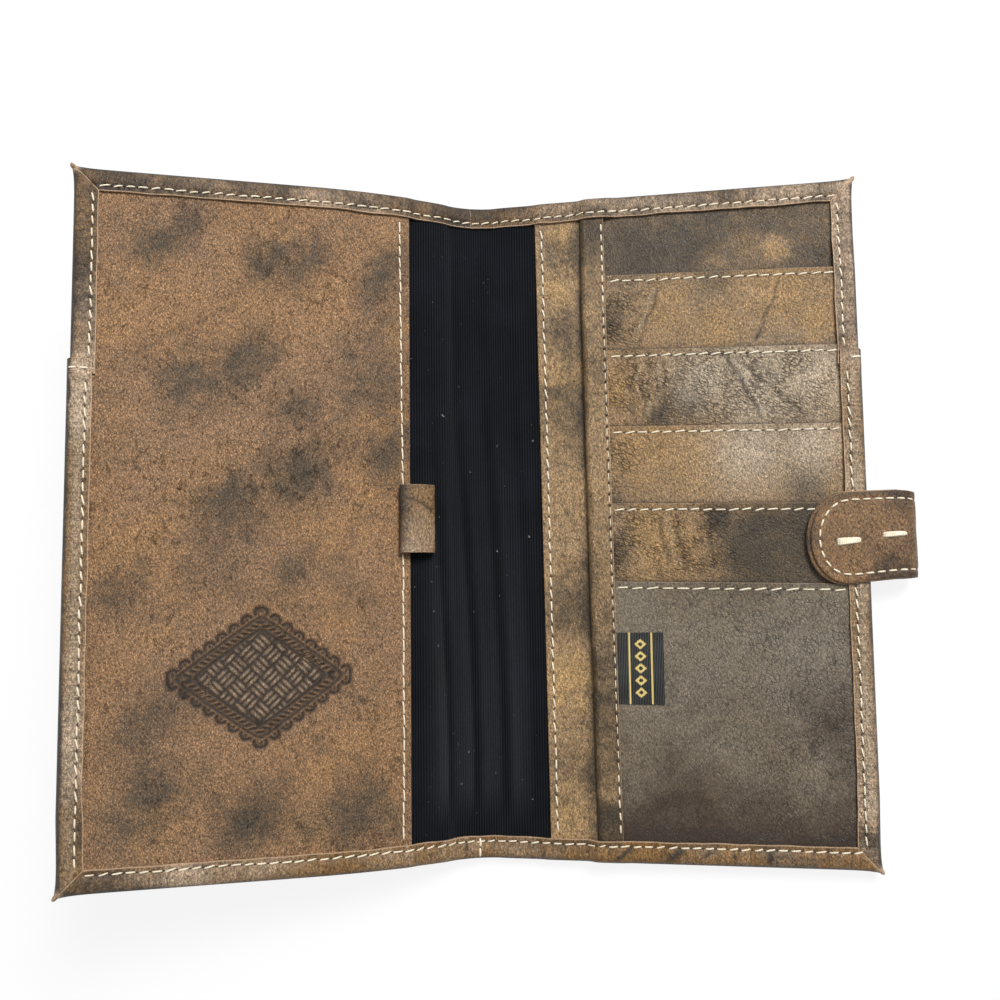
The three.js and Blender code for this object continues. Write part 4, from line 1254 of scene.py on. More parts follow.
def make_trim():
    """The trim's outer line and an inner line one thickness inside it, carried across the sheet."""
    run = edged(-TRIM_HALF, TRIM_HALF, 1.2)
    flat = np.concatenate([[TRIM_WIDTH, TRIM_WIDTH - 0.15], np.linspace(TRIM_WIDTH - 0.5, TRIM_ROUND, 9)])
    turn = np.linspace(np.pi / 2, np.pi, 9)[1:]
    wall = np.linspace(0.0, 1.0, 4)[1:]
    top = trim_top(run)[:, None]
    left = trim_left(run)[:, None]
    lines = []
    for inner in (0.0, TRIM):
        radius = TRIM_ROUND - inner
        round_side = TRIM_ROUND + radius * np.cos(turn)
        round_drop = TRIM_ROUND - radius * np.sin(turn)
        side = np.concatenate([flat, round_side, np.full(3, round_side[-1])])
        drop = np.concatenate([np.full(len(flat), inner), round_drop])
        low = PANEL_TOP + 0.25
        wall_start = top - round_drop[-1]
        walls = wall_start + (low - wall_start) * wall
        level = np.concatenate([top - drop, walls], axis=1)
        sag = 0.18 * hills(side[None, :] + 0 * run[:, None], run[:, None] + 0 * side, 16, 8.0)
        lines.append(lay(left + side, run[:, None], level + sag))
    outer, inner = lines
    section = np.concatenate([outer, inner[:, ::-1]], axis=1)
    stations, around = section.shape[:2]
    quads = turned_strip_quads(stations, around)
    cut = np.zeros((stations, around))
    cut[:, [0, -1]] = 1
    dark = 0.46 + 0.25 * hills(0 * section[..., 0], section[..., 1], 60, 5.0)
    dark = np.clip(dark + np.clip((-100 - section[..., 1]) / 12, 0, 1), 0, 1)
    # Painted shade on the trim's turned side and its wall, which face away from the light.
    groove = np.zeros((stations, around))
    groove[:, len(flat) : around // 2] = 0.1
    marks = {"cut_edge": cut, "dark_spot": np.clip(dark + groove, 0, 1)}
    return make_piece("card_trim", section.reshape(-1, 3), quads, slip_leather, marks=marks)


settle(make_trim(), "back_cover", ["card_edge_trim"])

# %% [markdown]
# ## Woven tab
# A small black tab of ribbed cloth is caught under the trim. It carries a plain row of woven gold
# diamonds between two lines, a common ribbon pattern. The pattern is a mark on a fine grid.

# %% Make the woven tab
TAB_START, TAB_WIDTH, TAB_HEIGHT = 43.0, 17.8, 26.0
TAB_TOP = POCKET_MOUTH - 18.0
DIAMOND_PITCH, DIAMOND_TALL, DIAMOND_WIDE = 4.4, 1.9, 2.2
ROW_INSET, ROW_HALF, LINE_REACH, LINE_HALF = 9.4, 10.8, 4.0, 0.32
tab_lines = edged(TAB_START, TAB_START + TAB_WIDTH, 0.25)
along, across = grid(tab_lines, edged(TAB_TOP - TAB_HEIGHT, TAB_TOP, 0.25))
tab_middle = TAB_TOP - TAB_HEIGHT / 2
off_row = np.abs(along - TAB_START - ROW_INSET)
tab_run = (across - tab_middle) / DIAMOND_PITCH
diamond = np.abs(tab_run - np.round(tab_run)) * DIAMOND_PITCH / DIAMOND_TALL + off_row / DIAMOND_WIDE
in_row = np.abs(across - tab_middle) < ROW_HALF
gold = np.where((diamond < 1.0) & (diamond > 0.45) & in_row, 1.0, 0.0)
gold = np.where(np.abs(off_row - LINE_REACH) < LINE_HALF, 1.0, gold)
tab_level = pocket_level(POCKET_MOUTH - across) + 0.55 + 0.15 * hills(along, across, 14, 3.0)
tab_level = tab_level + 0.25 * ((along - TAB_START) / TAB_WIDTH) ** 3
tab_piece = make_slab(
    "woven_tab_cloth", along, across, tab_level, tab_level - 0.4, woven_cloth,
    gold_thread=gold, cut_edge=np.zeros_like(along),
)
settle(tab_piece, "back_cover", ["woven_tab"])

# %% [markdown]
# ## Edge binding
# A leather strip is turned round every edge and sewn through all layers. Its section is a C: a leg on
# top, a round bend at the edge, a leg below. The section is carried along each side, and its ends are
# cut on the diagonal where two strips meet in a mitre. At each corner the bends are pinched into a
# small pointed ear. The lower strips lap over the upper ones at the splices.

# %% Looks of the four sides
# The last list of each side is painted sheen along the middle of the strip.
SIDES = {
    "left": {"width": 8.6, "stitch": 6.6, "smoke_run": [-120, -60, 40, 52, 60, 120],
             "smoke": [0.25, 0.15, 0.15, 0.2, 0.6, 0.6], "warm": [0.0, 0.0, 0.0, 0.0, 0.1, 0.1],
             "worn": [0.2, 0.5, 0.5, 0.3, 0.0, 0.0]},
    "right": {"width": 7.9, "stitch": 5.6, "smoke_run": [-122, -112, -104, 55, 62, 120],
              "smoke": [0.6, 0.7, 0.05, 0.05, 0.5, 0.5], "warm": [0.0, 0.0, 0.0, 0.0, 0.0, 0.0],
              "worn": [0.0, 0.0, 0.7, 0.5, 0.0, 0.0]},
    "top": {"width": 8.4, "stitch": 6.4, "smoke_run": [-150, -100, -60, 0, 60, 130],
            "smoke": [0.75, 0.6, 0.5, 0.65, 0.6, 0.6], "warm": [0.0, 0.0, 0.2, 0.3, 0.1, 0.0],
            "worn": [0.0, 0.0, 0.0, 0.0, 0.1, 0.2]},
    "bottom": {"width": 8.4, "stitch": 6.6, "smoke_run": [-150, -90, -60, 0, 60, 130],
               "smoke": [0.4, 0.15, 0.2, 0.1, 0.35, 0.35], "warm": [0.2, 0.4, 1.0, 0.7, 1.0, 1.0],
               "worn": [0.0, 0.2, 0.0, 0.15, 0.0, 0.0]},
}
print("width of the binding on each side in mm:", {side: look["width"] for side, look in SIDES.items()})

# %% Levels that the binding lies at
BINDING = 1.0
BINDING_LOW = -1.2
STACK_PLACES = [-157, -38, -35, -24, -20, -3, 1, 14, 17, 32, 35, 44, 47, 134]
STACK_TOP_EDGE = [4.0, 4.0, 2.8, 2.7, 1.9, 1.9, 2.7, 2.8, 4.0, 4.0, 6.3, 6.0, 4.9, 4.9]
STACK_BOTTOM_EDGE = [4.0, 4.0, 2.8, 2.7, 1.9, 1.9, 2.7, 2.8, 4.0, 4.0, 6.8, 6.6, 5.7, 5.7]
STACK_LEFT = 4.0
STACK_RIGHT_PLACES, STACK_RIGHT = [-125, -24, 90, 104], [5.7, 7.1, 7.1, 4.9]
curve_top_edge = eased(np.interp(curve_along, STACK_PLACES, STACK_TOP_EDGE), 5.0)
curve_bottom_edge = eased(np.interp(curve_along, STACK_PLACES, STACK_BOTTOM_EDGE), 5.0)


def binding_rest(side, run):
    """Level that the strip's top leg lies at, along its side."""
    if side == "left":
        rest = np.full_like(run, STACK_LEFT)
    elif side == "right":
        rest = np.interp(run, STACK_RIGHT_PLACES, STACK_RIGHT)
    elif side == "top":
        rest = np.interp(run, curve_along, curve_top_edge)
    else:
        rest = np.interp(run, curve_along, curve_bottom_edge)
    return rest + BINDING + 0.2


print("binding over the spine's middle in mm:", binding_rest("top", np.array([SPINE_MIDDLE])).round(2))

# %% Top and place of the binding
STITCH_PITCH = 4.3


def binding_top(side, run, inset):
    """Top surface of the strip: a low swell between its edge and the seam, pulled down by each stitch."""
    seam = SIDES[side]["stitch"]
    swell = 0.45 * np.sin(np.pi * np.clip((inset - 1.0) / (seam - 1.0), 0, 1))
    swell = swell * (0.75 + 0.35 * hills(run, inset * 2, 24, len(side)))
    pull = np.exp(-(((inset - seam) / 0.75) ** 2))
    stitch = 0.30 + 0.14 * np.cos(2 * np.pi * run / STITCH_PITCH)
    return binding_rest(side, run) + swell - stitch * pull


def side_place(side, run, inset):
    """Along and across the sheet for a place on a side: how far it runs, and how far in it lies."""
    if side == "left":
        return LEFT_EDGE + inset, run
    if side == "right":
        return RIGHT_EDGE - inset, run
    if side == "top":
        return run, HALF_HEIGHT - inset
    return run, inset - HALF_HEIGHT


print("stitches of the binding are", STITCH_PITCH, "mm apart")

# %% Shape of a binding strip
EAR, EAR_REACH = 1.2, 3.0


def strip_section(width, inner):
    """Inset and rise of the C, from its raw edge on top round the bend to its raw edge below. The rise
    goes from 1 on top to -1 below. inner is how deep the line lies under the strip's outer surface."""
    bend = 0.28 * width
    leg = np.concatenate([[width, width - 0.12, width - 0.35], np.linspace(width - 0.9, bend, 13)])
    angle = np.linspace(np.pi / 2, -np.pi / 2, 15)[1:-1]
    under_leg = np.linspace(bend, width, 7)
    inset = np.concatenate([leg, bend - (bend - inner) * np.cos(angle), under_leg])
    rise = np.concatenate([np.ones(len(leg)), np.sin(angle), -np.ones(len(under_leg))])
    return inset[None, :], rise[None, :]


def strip_surface(name, side, start, end, mitre, lap, out, inner):
    """Run, inset and level of one surface of a strip, and two values for its marks: how far each point is
    from the mitred end, and its inset before the corner is pinched."""
    width = SIDES[side]["width"]
    way = np.sign(end - start)
    length = abs(end - start)
    share = edged(0.0, length, 0.9)[:, None] / length
    inset, rise = strip_section(width, inner)
    run_end = end - way * inset * mitre
    run = start + (run_end - start) * share
    from_start = np.abs(run - start)
    from_end = np.abs(run - run_end)
    corner = np.exp(-from_end / EAR_REACH) * np.exp(-4.5 * inset / width)

    raised = lap * np.exp(-((np.clip(from_start - 5, 0, None) / 3.0) ** 2))
    mitre_groove = 0.35 * np.exp(-((from_end / 0.5) ** 2))
    top = binding_top(side, run, inset + 0 * run) + raised - mitre_groove
    low = BINDING_LOW - raised
    half = (top - low) / 2 - inner
    level = (top + low) / 2 + half * rise * (1 - 0.45 * corner)
    edge_wave = 0.22 * hills(run, inset * 0, 19, len(name) * 0.7) * np.clip(inset / width, 0, 1) ** 3
    edge_wave = edge_wave * np.clip(from_end / 6, 0, 1)
    stand_out = out * np.clip(from_end / 25, 0, 1)
    shown_inset = inset + edge_wave * (rise > 0) - stand_out - EAR * corner
    return run + EAR * way * corner, shown_inset, level, from_end, inset + 0 * run


print("the strips are drawn out by", EAR, "mm at each corner")

# %% Marks on a binding strip
RAW_TIP = 1.7
STRIP_SCRATCHES = [
    ((42, -124), (48, -117.5), 0.7), ((61, -123.5), (66, -118), 1.1), ((74, -122.5), (75, -118), 0.6),
    ((95, -123.5), (97, -117.5), 1.0), ((-16, -123), (-15, -118), 0.5), ((84, -123), (84.5, -119), 0.5),
]


def strip_marks(name, side, run, inset, from_end, flat_inset):
    """Raw cut edges and mitre, smoke, painted shade on the outer bend, warmth, painted sheen along the
    middle, and scratches of a strip.
    """
    looks = SIDES[side]
    around = run.shape[1]
    half = around // 2
    cut = np.exp(-(np.hypot(from_end, flat_inset) / RAW_TIP) ** 4)
    cut[:, [0, 1, half - 1, half, around - 2, around - 1]] = 1
    cut[[0, -2, -1], :] = 1
    dark = np.interp(run, looks["smoke_run"], looks["smoke"])
    dark = dark + 0.16 * hills(run, inset * 3, 55, len(name) * 1.1)
    # Painted shade on the rounded outer bend.
    dark = dark + 0.5 * np.clip(1.5 - inset, 0, 1.5)
    warm = np.interp(run, looks["smoke_run"], looks["warm"])
    # Painted sheen along the middle of the strip.
    worn = np.interp(run, looks["smoke_run"], looks["worn"])
    worn = worn * np.exp(-(((inset - 0.45 * looks["width"]) / 2.0) ** 2))
    scratches = creased(*side_place(side, run, inset), STRIP_SCRATCHES)
    burnish = np.clip(1.5 * scratches, 0, 0.92)
    return {"cut_edge": cut, "dark_spot": dark, "warm_spot": warm, "worn": worn, "burnish": burnish}


print("scratches on the binding:", len(STRIP_SCRATCHES))


# %% Make the binding strips
def make_strip(name, side, start, end, mitre, lap=0.0, out=0.0):
    """One strip of binding, from a square end to a mitred one.
    mitre says how far the mitred end moves back along the run for each millimetre of inset. lap lifts
    the first millimetres over another strip. out moves the strip outwards, but not at its mitre."""
    outer = strip_surface(name, side, start, end, mitre, lap, out, 0.0)
    inner = strip_surface(name, side, start, end, mitre, lap, out, BINDING)
    rings = [np.concatenate([there, back[:, ::-1]], axis=1) for there, back in zip(outer, inner)]
    run, inset, level, from_end, flat_inset = rings
    points = lay(*side_place(side, run, inset), level).reshape(-1, 3)
    uv = np.stack([run, inset], axis=-1).reshape(-1, 2) / UV_LENGTH
    marks = strip_marks(name, side, run, inset, from_end, flat_inset)
    return make_piece(name, points, turned_strip_quads(*run.shape), binding_leather, uv, marks)


FRONT_SPLICE, BACK_SPLICE, LAP = 56.0, 60.0, 1.15
LEFT_OUT, RIGHT_OUT = 0.9, 0.7
LEFT_TO_TOP = SIDES["top"]["width"] / SIDES["left"]["width"]
RIGHT_TO_TOP = SIDES["top"]["width"] / SIDES["right"]["width"]
TOP_TO_LEFT, TOP_TO_RIGHT = 1 / LEFT_TO_TOP, 1 / RIGHT_TO_TOP
STRIPS = [
    ("strip_left_upper", "left", 51.0, HALF_HEIGHT, LEFT_TO_TOP),
    ("strip_left_lower", "left", FRONT_SPLICE, -HALF_HEIGHT, LEFT_TO_TOP, LAP, LEFT_OUT),
    ("strip_right_upper", "right", 55.0, HALF_HEIGHT, RIGHT_TO_TOP),
    ("strip_right_lower", "right", BACK_SPLICE, -HALF_HEIGHT, RIGHT_TO_TOP, LAP, RIGHT_OUT),
    ("strip_top_front", "top", SPINE_MIDDLE, LEFT_EDGE, TOP_TO_LEFT),
    ("strip_top_back", "top", SPINE_MIDDLE, RIGHT_EDGE, TOP_TO_RIGHT),
    ("strip_bottom_front", "bottom", SPINE_MIDDLE, LEFT_EDGE, TOP_TO_LEFT),
    ("strip_bottom_back", "bottom", SPINE_MIDDLE, RIGHT_EDGE, TOP_TO_RIGHT),
]
STRIP_HOLDERS = [
    ("front_cover", ["front_binding_upper"]),
    ("front_cover", ["front_binding_lower"]),
    ("back_cover", ["back_binding_upper"]),
    ("back_cover", ["back_binding_lower"]),
    (FRONT_HINGE, ["front_binding_upper", "spine_binding_top"]),
    (BACK_HINGE, ["back_binding_upper", "spine_binding_top"]),
    (FRONT_HINGE, ["front_binding_lower", "spine_binding_bottom"]),
    (BACK_HINGE, ["back_binding_lower", "spine_binding_bottom"]),
]
for strip, (holder, nodes) in zip(STRIPS, STRIP_HOLDERS):
    settle(make_strip(*strip), holder, nodes)


# %% Make the corner ears
EAR_OUT = 0.35


def make_ear(name, along, across, along_way, across_way):
    """The pinched tip of a corner: a short stub of raw leather that points out of the corner and a little
    up, with a hollow at its end where the strip was folded on itself."""
    turn = np.linspace(0, 2 * np.pi, 14, endpoint=False)[None, :]
    out = np.array([-2.4, -1.3, 0.2, 0.8, 1.1, 1.0, 0.3])[:, None]
    reach = np.array([1.15, 1.35, 1.25, 1.05, 0.75, 0.5, 0.15])[:, None]
    reach = reach * (1 + 0.10 * np.sin(3 * turn + 2 * out))
    aside = 0.65 * reach * np.cos(turn)
    level = 2.2 + 0.45 * out + 1.5 * reach * np.sin(turn)
    diagonal = np.sqrt(0.5)
    points = lay(
        along + (along_way * out - across_way * aside) * diagonal,
        across + (across_way * out + along_way * aside) * diagonal,
        level,
    )
    rings, around = points.shape[:2]
    end_fan = fan_quads(around) + (rings - 1) * around
    quads = np.concatenate([tube_quads(rings, around), fan_quads(around)[:, ::-1], end_fan])
    cut = np.repeat([0.1, 0.2, 0.5, 0.6, 0.8, 0.5, 0.0], around)
    # Painted shade in the hollow at the ear's end.
    hollow = np.repeat([0.0, 0.0, 0.0, 0.0, 0.0, 0.4, 0.9], around)
    marks = {"cut_edge": cut, "dark_spot": np.full(rings * around, 0.3), "burnish": hollow}
    return make_piece(name, points.reshape(-1, 3), quads, binding_leather, marks=marks)


for across_way in (-1, 1):
    word = "upper" if across_way > 0 else "lower"
    ear_across = across_way * (HALF_HEIGHT + EAR_OUT)
    settle(make_ear(f"ear_left_{word}", LEFT_EDGE - EAR_OUT, ear_across, -1, across_way), "front_cover")
    settle(make_ear(f"ear_right_{word}", RIGHT_EDGE + EAR_OUT, ear_across, 1, across_way), "back_cover")

# %% [markdown]
# ## Closure strap
# The strap is sewn under the back cover, bends round its edge with slack and ends in a rounded tab on
# top. Upper leather is one long ribbon, so it is one grid carried along that path. A second layer lines
# the tab and shows a pale cut edge round the tip.

# %% Path and width of the strap
STRAP_MIDDLE, STRAP_HALF, STRAP_TIP_HALF, STRAP_TIP_ROUND = -8.6, 15.25, 16.25, 13.0
STRAP_TAPER = 37
fold_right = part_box("strap_tab")[1].x / MM
tab_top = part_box("strap_tab")[1].z / MM
root_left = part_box("strap_root")[0].x / MM
tip_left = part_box("strap_tab")[0].x / MM
FOLD_RADIUS = tab_top / 2
fold_centre = fold_right - FOLD_RADIUS
STRAIGHT_ROOT = fold_centre - root_left
FOLD_END = STRAIGHT_ROOT + np.pi * FOLD_RADIUS
STRAP_LENGTH = FOLD_END + fold_centre - tip_left


def strap_path(run):
    """Outer line of the strap, from its sewn root under the cover, round the fold, to the tip.
    Returns the points and the directions that point away from the strap's own inside."""
    turn = np.clip((run - STRAIGHT_ROOT) / FOLD_RADIUS, 0, np.pi)
    beyond = np.clip(run - STRAIGHT_ROOT - np.pi * FOLD_RADIUS, 0, None)
    before = np.clip(STRAIGHT_ROOT - run, 0, None)
    x = fold_centre + FOLD_RADIUS * np.sin(turn) - before - beyond
    z = FOLD_RADIUS - FOLD_RADIUS * np.cos(turn)
    return x, z, np.sin(turn), -np.cos(turn)


def strap_half(to_tip):
    """Half the strap's width at a distance from its tip: an ellipse for the tip, then a slow taper."""
    round_part = np.sqrt(np.clip(1 - (1 - np.clip(to_tip / STRAP_TIP_ROUND, 0, 1)) ** 2, 0, 1))
    taper = [STRAP_TIP_HALF, STRAP_HALF, STRAP_HALF]
    straight_part = np.interp(to_tip, [STRAP_TIP_ROUND, STRAP_TAPER, 60], taper)
    return np.maximum(np.where(to_tip < STRAP_TIP_ROUND, STRAP_TIP_HALF * round_part, straight_part), 0.05)


def strap_shift(run):
    """How far the strap's middle moves up the cover as it comes off straight: a slight turn."""
    return np.interp(run, [STRAIGHT_ROOT - 20, FOLD_END, STRAP_LENGTH], [0.0, 1.3, -0.3])


print("length of the strap in mm:", round(STRAP_LENGTH, 1))

# %% Make the strap
STRAP_SEAM_IN = 2.9
TIP_STEP = 1.4


def make_ribbon(name, start, tip_run, lift, layer, width_less):
    """A ribbon along the strap's path: rows along the run, columns across the width at each row.
    lift is how deep its outer side lies under the path, and layer is its thickness."""
    tip_steps = tip_run - STRAP_TIP_ROUND * (1 - np.cos(np.linspace(0, np.pi / 2, 40))[::-1])
    body_steps = edged(start, tip_run - STRAP_TIP_ROUND, 0.9)
    run = np.unique(np.concatenate([body_steps, tip_steps]).round(4))
    run = run[(run >= start) & (run <= tip_run)]
    spread = np.concatenate([[-1, -0.985, -0.96], np.linspace(-0.92, 0.92, 33), [0.96, 0.985, 1]])
    half = np.maximum(strap_half(tip_run - run) - width_less, 0.03)[:, None]
    across = (STRAP_MIDDLE + strap_shift(run))[:, None] + half * spread[None, :]
    x, z, out_x, out_z = (values[:, None] + 0 * across for values in strap_path(run))
    to_tip = (tip_run - run)[:, None]
    run = run[:, None] + 0 * across
    edge = np.minimum((1 - np.abs(spread))[None, :] * half, to_tip)
    puff = 0.22 * np.clip(edge / 3, 0, 1) + 0.10 * hills(run, across, 15, 6.0)
    stitch_pull = 0.28 * np.exp(-(((edge - STRAP_SEAM_IN) / 0.7) ** 2))
    skin = -lift + puff - stitch_pull - rounded(edge, 0.3)
    outer = np.stack([x + out_x * skin, across, z + out_z * skin], axis=-1)
    inner_skin = -lift - layer
    inner = np.stack([x + out_x * inner_skin, across, z + out_z * inner_skin], axis=-1)
    points = np.concatenate([outer, inner]).reshape(-1, 3)
    # Besides its random tone, the strap is painted darker along its edges and where it bends over the fold:
    # painted shade.
    dark = 0.15 + 0.4 * hills(run, across, 40, 2.0) + 0.35 * np.exp(-edge / 1.5)
    dark = np.clip(dark + 0.4 * np.exp(-(((to_tip - 30) / 9) ** 2)), 0, 1)
    marks = {"cut_edge": rim_mark(*across.shape), "dark_spot": np.concatenate([dark, dark])}
    return make_piece(name, points, slab_quads(*across.shape), strap_leather, marks=marks)


strap_ribbon = make_ribbon("strap_ribbon", 0.0, STRAP_LENGTH, lift=0.25, layer=1.0, width_less=0.0)
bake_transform(strap_ribbon)
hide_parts("strap_root", "strap_tab")

under_tip = STRAP_LENGTH + TIP_STEP
strap_under = make_ribbon("strap_under_layer", FOLD_END, under_tip, lift=1.45, layer=0.95, width_less=-0.35)
settle(strap_under, "strap", ["strap_tab_lining"])

# %% [markdown]
# ## Stitching
# Every seam is cream thread that shows as short dashes. Seams on the sheet also show a dark bead between
# one stitch and the next, painted shade in the needle hole. A stitch is a small tapered bead that dips into
# the leather at both ends. The seam is a path of points, cut into equal steps, and all stitches of a seam
# are made at once as one array.

# %% Stitch maker
RINGS = np.array([0.0, 0.12, 0.32, 0.5, 0.68, 0.88, 1.0])
RING_SIZE = np.array([0.3, 0.85, 1.0, 1.0, 1.0, 0.85, 0.3])
RING_RISE = np.array([-0.8, 0.3, 0.62, 0.7, 0.62, 0.3, -0.8])
THREAD_SIDES = 6


def make_beads(name, start, end, up, radius, finish):
    """Tapered beads between pairs of points.
    Each ring's centre lies between the two points, raised along up, and its corners lie round that."""
    way = end - start
    length = np.linalg.norm(way, axis=-1, keepdims=True)
    way = way / length
    side = np.cross(up, way)
    centre = start[:, None] + (end - start)[:, None] * RINGS[None, :, None]
    centre = centre + up[:, None] * (RING_RISE * radius)[None, :, None]
    angle = np.arange(THREAD_SIDES) * 2 * np.pi / THREAD_SIDES
    spoke = side[:, None, :] * np.cos(angle)[None, :, None] + up[:, None, :] * np.sin(angle)[None, :, None]
    points = centre[:, :, None] + spoke[:, None] * (RING_SIZE * radius)[None, :, None, None]
    count, rings = len(start), len(RINGS)
    per_bead = rings * THREAD_SIDES
    bead = tube_quads(rings, THREAD_SIDES)
    tip = fan_quads(THREAD_SIDES)
    bead = np.concatenate([bead, tip[:, ::-1], tip + per_bead - THREAD_SIDES])
    quads = (bead[None] + np.arange(count)[:, None, None] * per_bead).reshape(-1, 4)
    around = np.broadcast_to(angle / (2 * np.pi), (count, rings, THREAD_SIDES))
    along = RINGS[None, :, None] * length[:, :, None] * 0.5 + 0 * around
    uv = np.stack([along, around], axis=-1).reshape(-1, 2)
    return make_piece(name, points.reshape(-1, 3), quads, finish, uv)


def step_along(path, pitch):
    """The places between equal steps along a path of points, by its measured length."""
    lengths = np.concatenate([[0], np.cumsum(np.linalg.norm(np.diff(path, axis=0), axis=1))])
    count = max(int(round(lengths[-1] / pitch)), 1)
    marks = np.linspace(0, lengths[-1], count + 1)
    return np.stack([np.interp(marks, lengths, path[:, axis]) for axis in range(3)], axis=-1)


print("each stitch is a bead of", len(RINGS), "rings with", THREAD_SIDES, "corners")


# %% A seam on the sheet
chance = np.random.default_rng(7)


def sew(
    name, along, across, level, holder,
    pitch=STITCH_PITCH, radius=0.31, fill=0.86, slant=0.30, hole=0.22, facing=1.0,
):
    """A seam along a path on the sheet: cream beads, each turned a little across the seam, and dark beads
    between them as painted shade in the needle holes. fill is the share of each step that a bead takes,
    slant is how far its ends stand off the seam line, and facing is -1 for a seam seen from the outside of
    the wallet."""
    path = np.stack(np.broadcast_arrays(along, across, level), axis=-1).astype(float)
    knots = step_along(path, pitch)
    middle = (knots[1:] + knots[:-1]) / 2
    each = (len(middle), 1)
    reach = (knots[1:] - knots[:-1]) / 2 * fill * chance.uniform(0.82, 1.06, each)
    ahead = reach[:, :2] / np.linalg.norm(reach[:, :2], axis=1, keepdims=True)
    aside = np.stack([-ahead[:, 1], ahead[:, 0]], axis=-1)
    lean = aside * (slant * chance.uniform(0.0, 1.6, each))
    shift = aside * chance.uniform(-0.12, 0.12, each)
    shift = shift + ahead * chance.uniform(-0.15, 0.15, each)
    first = middle - reach
    second = middle + reach
    first[:, :2] += shift - lean
    second[:, :2] += shift + lean
    start = lay(*first.T)
    end = lay(*second.T)
    up = lay(first[:, 0], first[:, 1], first[:, 2] + facing) - start
    settle(make_beads(name, start, end, up, radius, cream_thread), holder)
    # Painted shade: a dark bead in each needle hole between two stitches.
    needle = knots[1:-1]
    gap = (knots[2:] - knots[:-2]) / 2 * 0.12
    hole_start = lay(*(needle - gap).T)
    hole_end = lay(*(needle + gap).T)
    hole_up = lay(needle[:, 0], needle[:, 1], needle[:, 2] + facing) - lay(*needle.T)
    if len(needle) > 0:
        settle(make_beads(name + "_holes", hole_start, hole_end, hole_up, hole, hole_shade_beads), holder)


# %% Sew the binding
def sew_side(name, side, start, end, holder, out=0.0):
    """The seam of one side of the binding, on its top and through to the outside."""
    run = np.linspace(start, end, 300)
    seam = SIDES[side]["stitch"] - out
    along, across = side_place(side, run, seam + 0.12 * hills(run, 0 * run, 30, len(name)))
    sew(name, along, across, binding_top(side, run, np.full_like(run, seam)) + 0.12, holder)
    sew(name + "_outside", along, across, np.full_like(run, BINDING_LOW + 0.15), holder, facing=-1.0)


SIDE_END = HALF_HEIGHT - 8.6
LEFT_END, RIGHT_END = LEFT_EDGE + 8.4, RIGHT_EDGE - 5.4
sew_side("seam_left_upper", "left", 57.0, SIDE_END, "front_cover")
sew_side("seam_left_lower", "left", 52.5, -SIDE_END, "front_cover", LEFT_OUT)
sew_side("seam_right_upper", "right", 61.0, SIDE_END, "back_cover")
sew_side("seam_right_lower", "right", 57.0, -SIDE_END, "back_cover", RIGHT_OUT)
sew_side("seam_top_front", "top", SPINE_MIDDLE, LEFT_END, FRONT_HINGE)
sew_side("seam_top_back", "top", SPINE_MIDDLE, RIGHT_END, BACK_HINGE)
sew_side("seam_bottom_front", "bottom", SPINE_MIDDLE, LEFT_END, FRONT_HINGE)
sew_side("seam_bottom_back", "bottom", SPINE_MIDDLE, RIGHT_END, BACK_HINGE)

# %% Sew the panels
PANEL_SEAM_END = 114.6
POCKET_SEAMS = [("low", -PANEL_SEAM_END, -11.6), ("high", 14.2, PANEL_SEAM_END)]
for part, low, high in POCKET_SEAMS:
    run = np.linspace(low, high, 200)
    seam_along = POCKET_EDGE - 2.9 - 0.009 * np.clip(run, 0, 115) + 0.15 * hills(run, 0 * run, 40, 2.0)
    seam_level = front_panel_level(seam_along, run) + 0.02
    sew(
        "seam_front_pocket_" + part, seam_along, run, seam_level, "front_cover",
        pitch=4.5, radius=0.30, fill=1.12, slant=0.14, hole=0.18,
    )

slip_run = np.linspace(-PANEL_SEAM_END, PANEL_SEAM_END, 300)
slip_seam = SLIP_EDGE + 2.7 + EDGE_SLANT * slip_run
slip_level = np.full_like(slip_run, PANEL_TOP + 0.05)
sew("seam_slip", slip_seam, slip_run, slip_level, "back_cover", pitch=4.5)

# %% Sew the trim
TRIM_SEAMS = [
    ("low", -PANEL_SEAM_END, -92.0, 0.30, 0.24),
    ("middle", -92.0, 82.0, 0.17, 0.46),
    ("high", 82.0, PANEL_SEAM_END, 0.30, 0.24),
]
for part, low, high, thread, hole in TRIM_SEAMS:
    run = np.linspace(low, high, 200)
    sew(
        "seam_trim_" + part, trim_left(run) + 8.5, run, trim_top(run) + 0.02, "back_cover",
        pitch=4.2, radius=thread, fill=0.72, slant=0.1, hole=hole,
    )

# %% Sew the mouths of the cards and of the lower pocket
MOUTH_SEAM = 2.3
mouth_run = np.linspace(TRIM_EDGE + TRIM_WIDTH + 0.3, RIGHT_EDGE - 7.4, 120)
for number in range(LEAF_COUNT + 1):
    mouth = FIRST_MOUTH - number * MOUTH_PITCH
    seam_across = mouth + mouth_line(mouth_run) - MOUTH_SEAM
    if number < LEAF_COUNT:
        lift = leaf_lift(mouth_run, seam_across, MOUTH_SEAM, number)
        pitch = 4.7
    else:
        lift = 0.25 * hills(mouth_run, seam_across, 30, 9.0) * 0.3 + 0.35 * np.exp(-MOUTH_SEAM / 2.5)
        pitch = 5.6
    seam_level = leaf_level(MOUTH_SEAM) + lift
    sew(f"seam_mouth_{number + 1}", mouth_run, seam_across, seam_level, "back_cover", pitch=pitch)


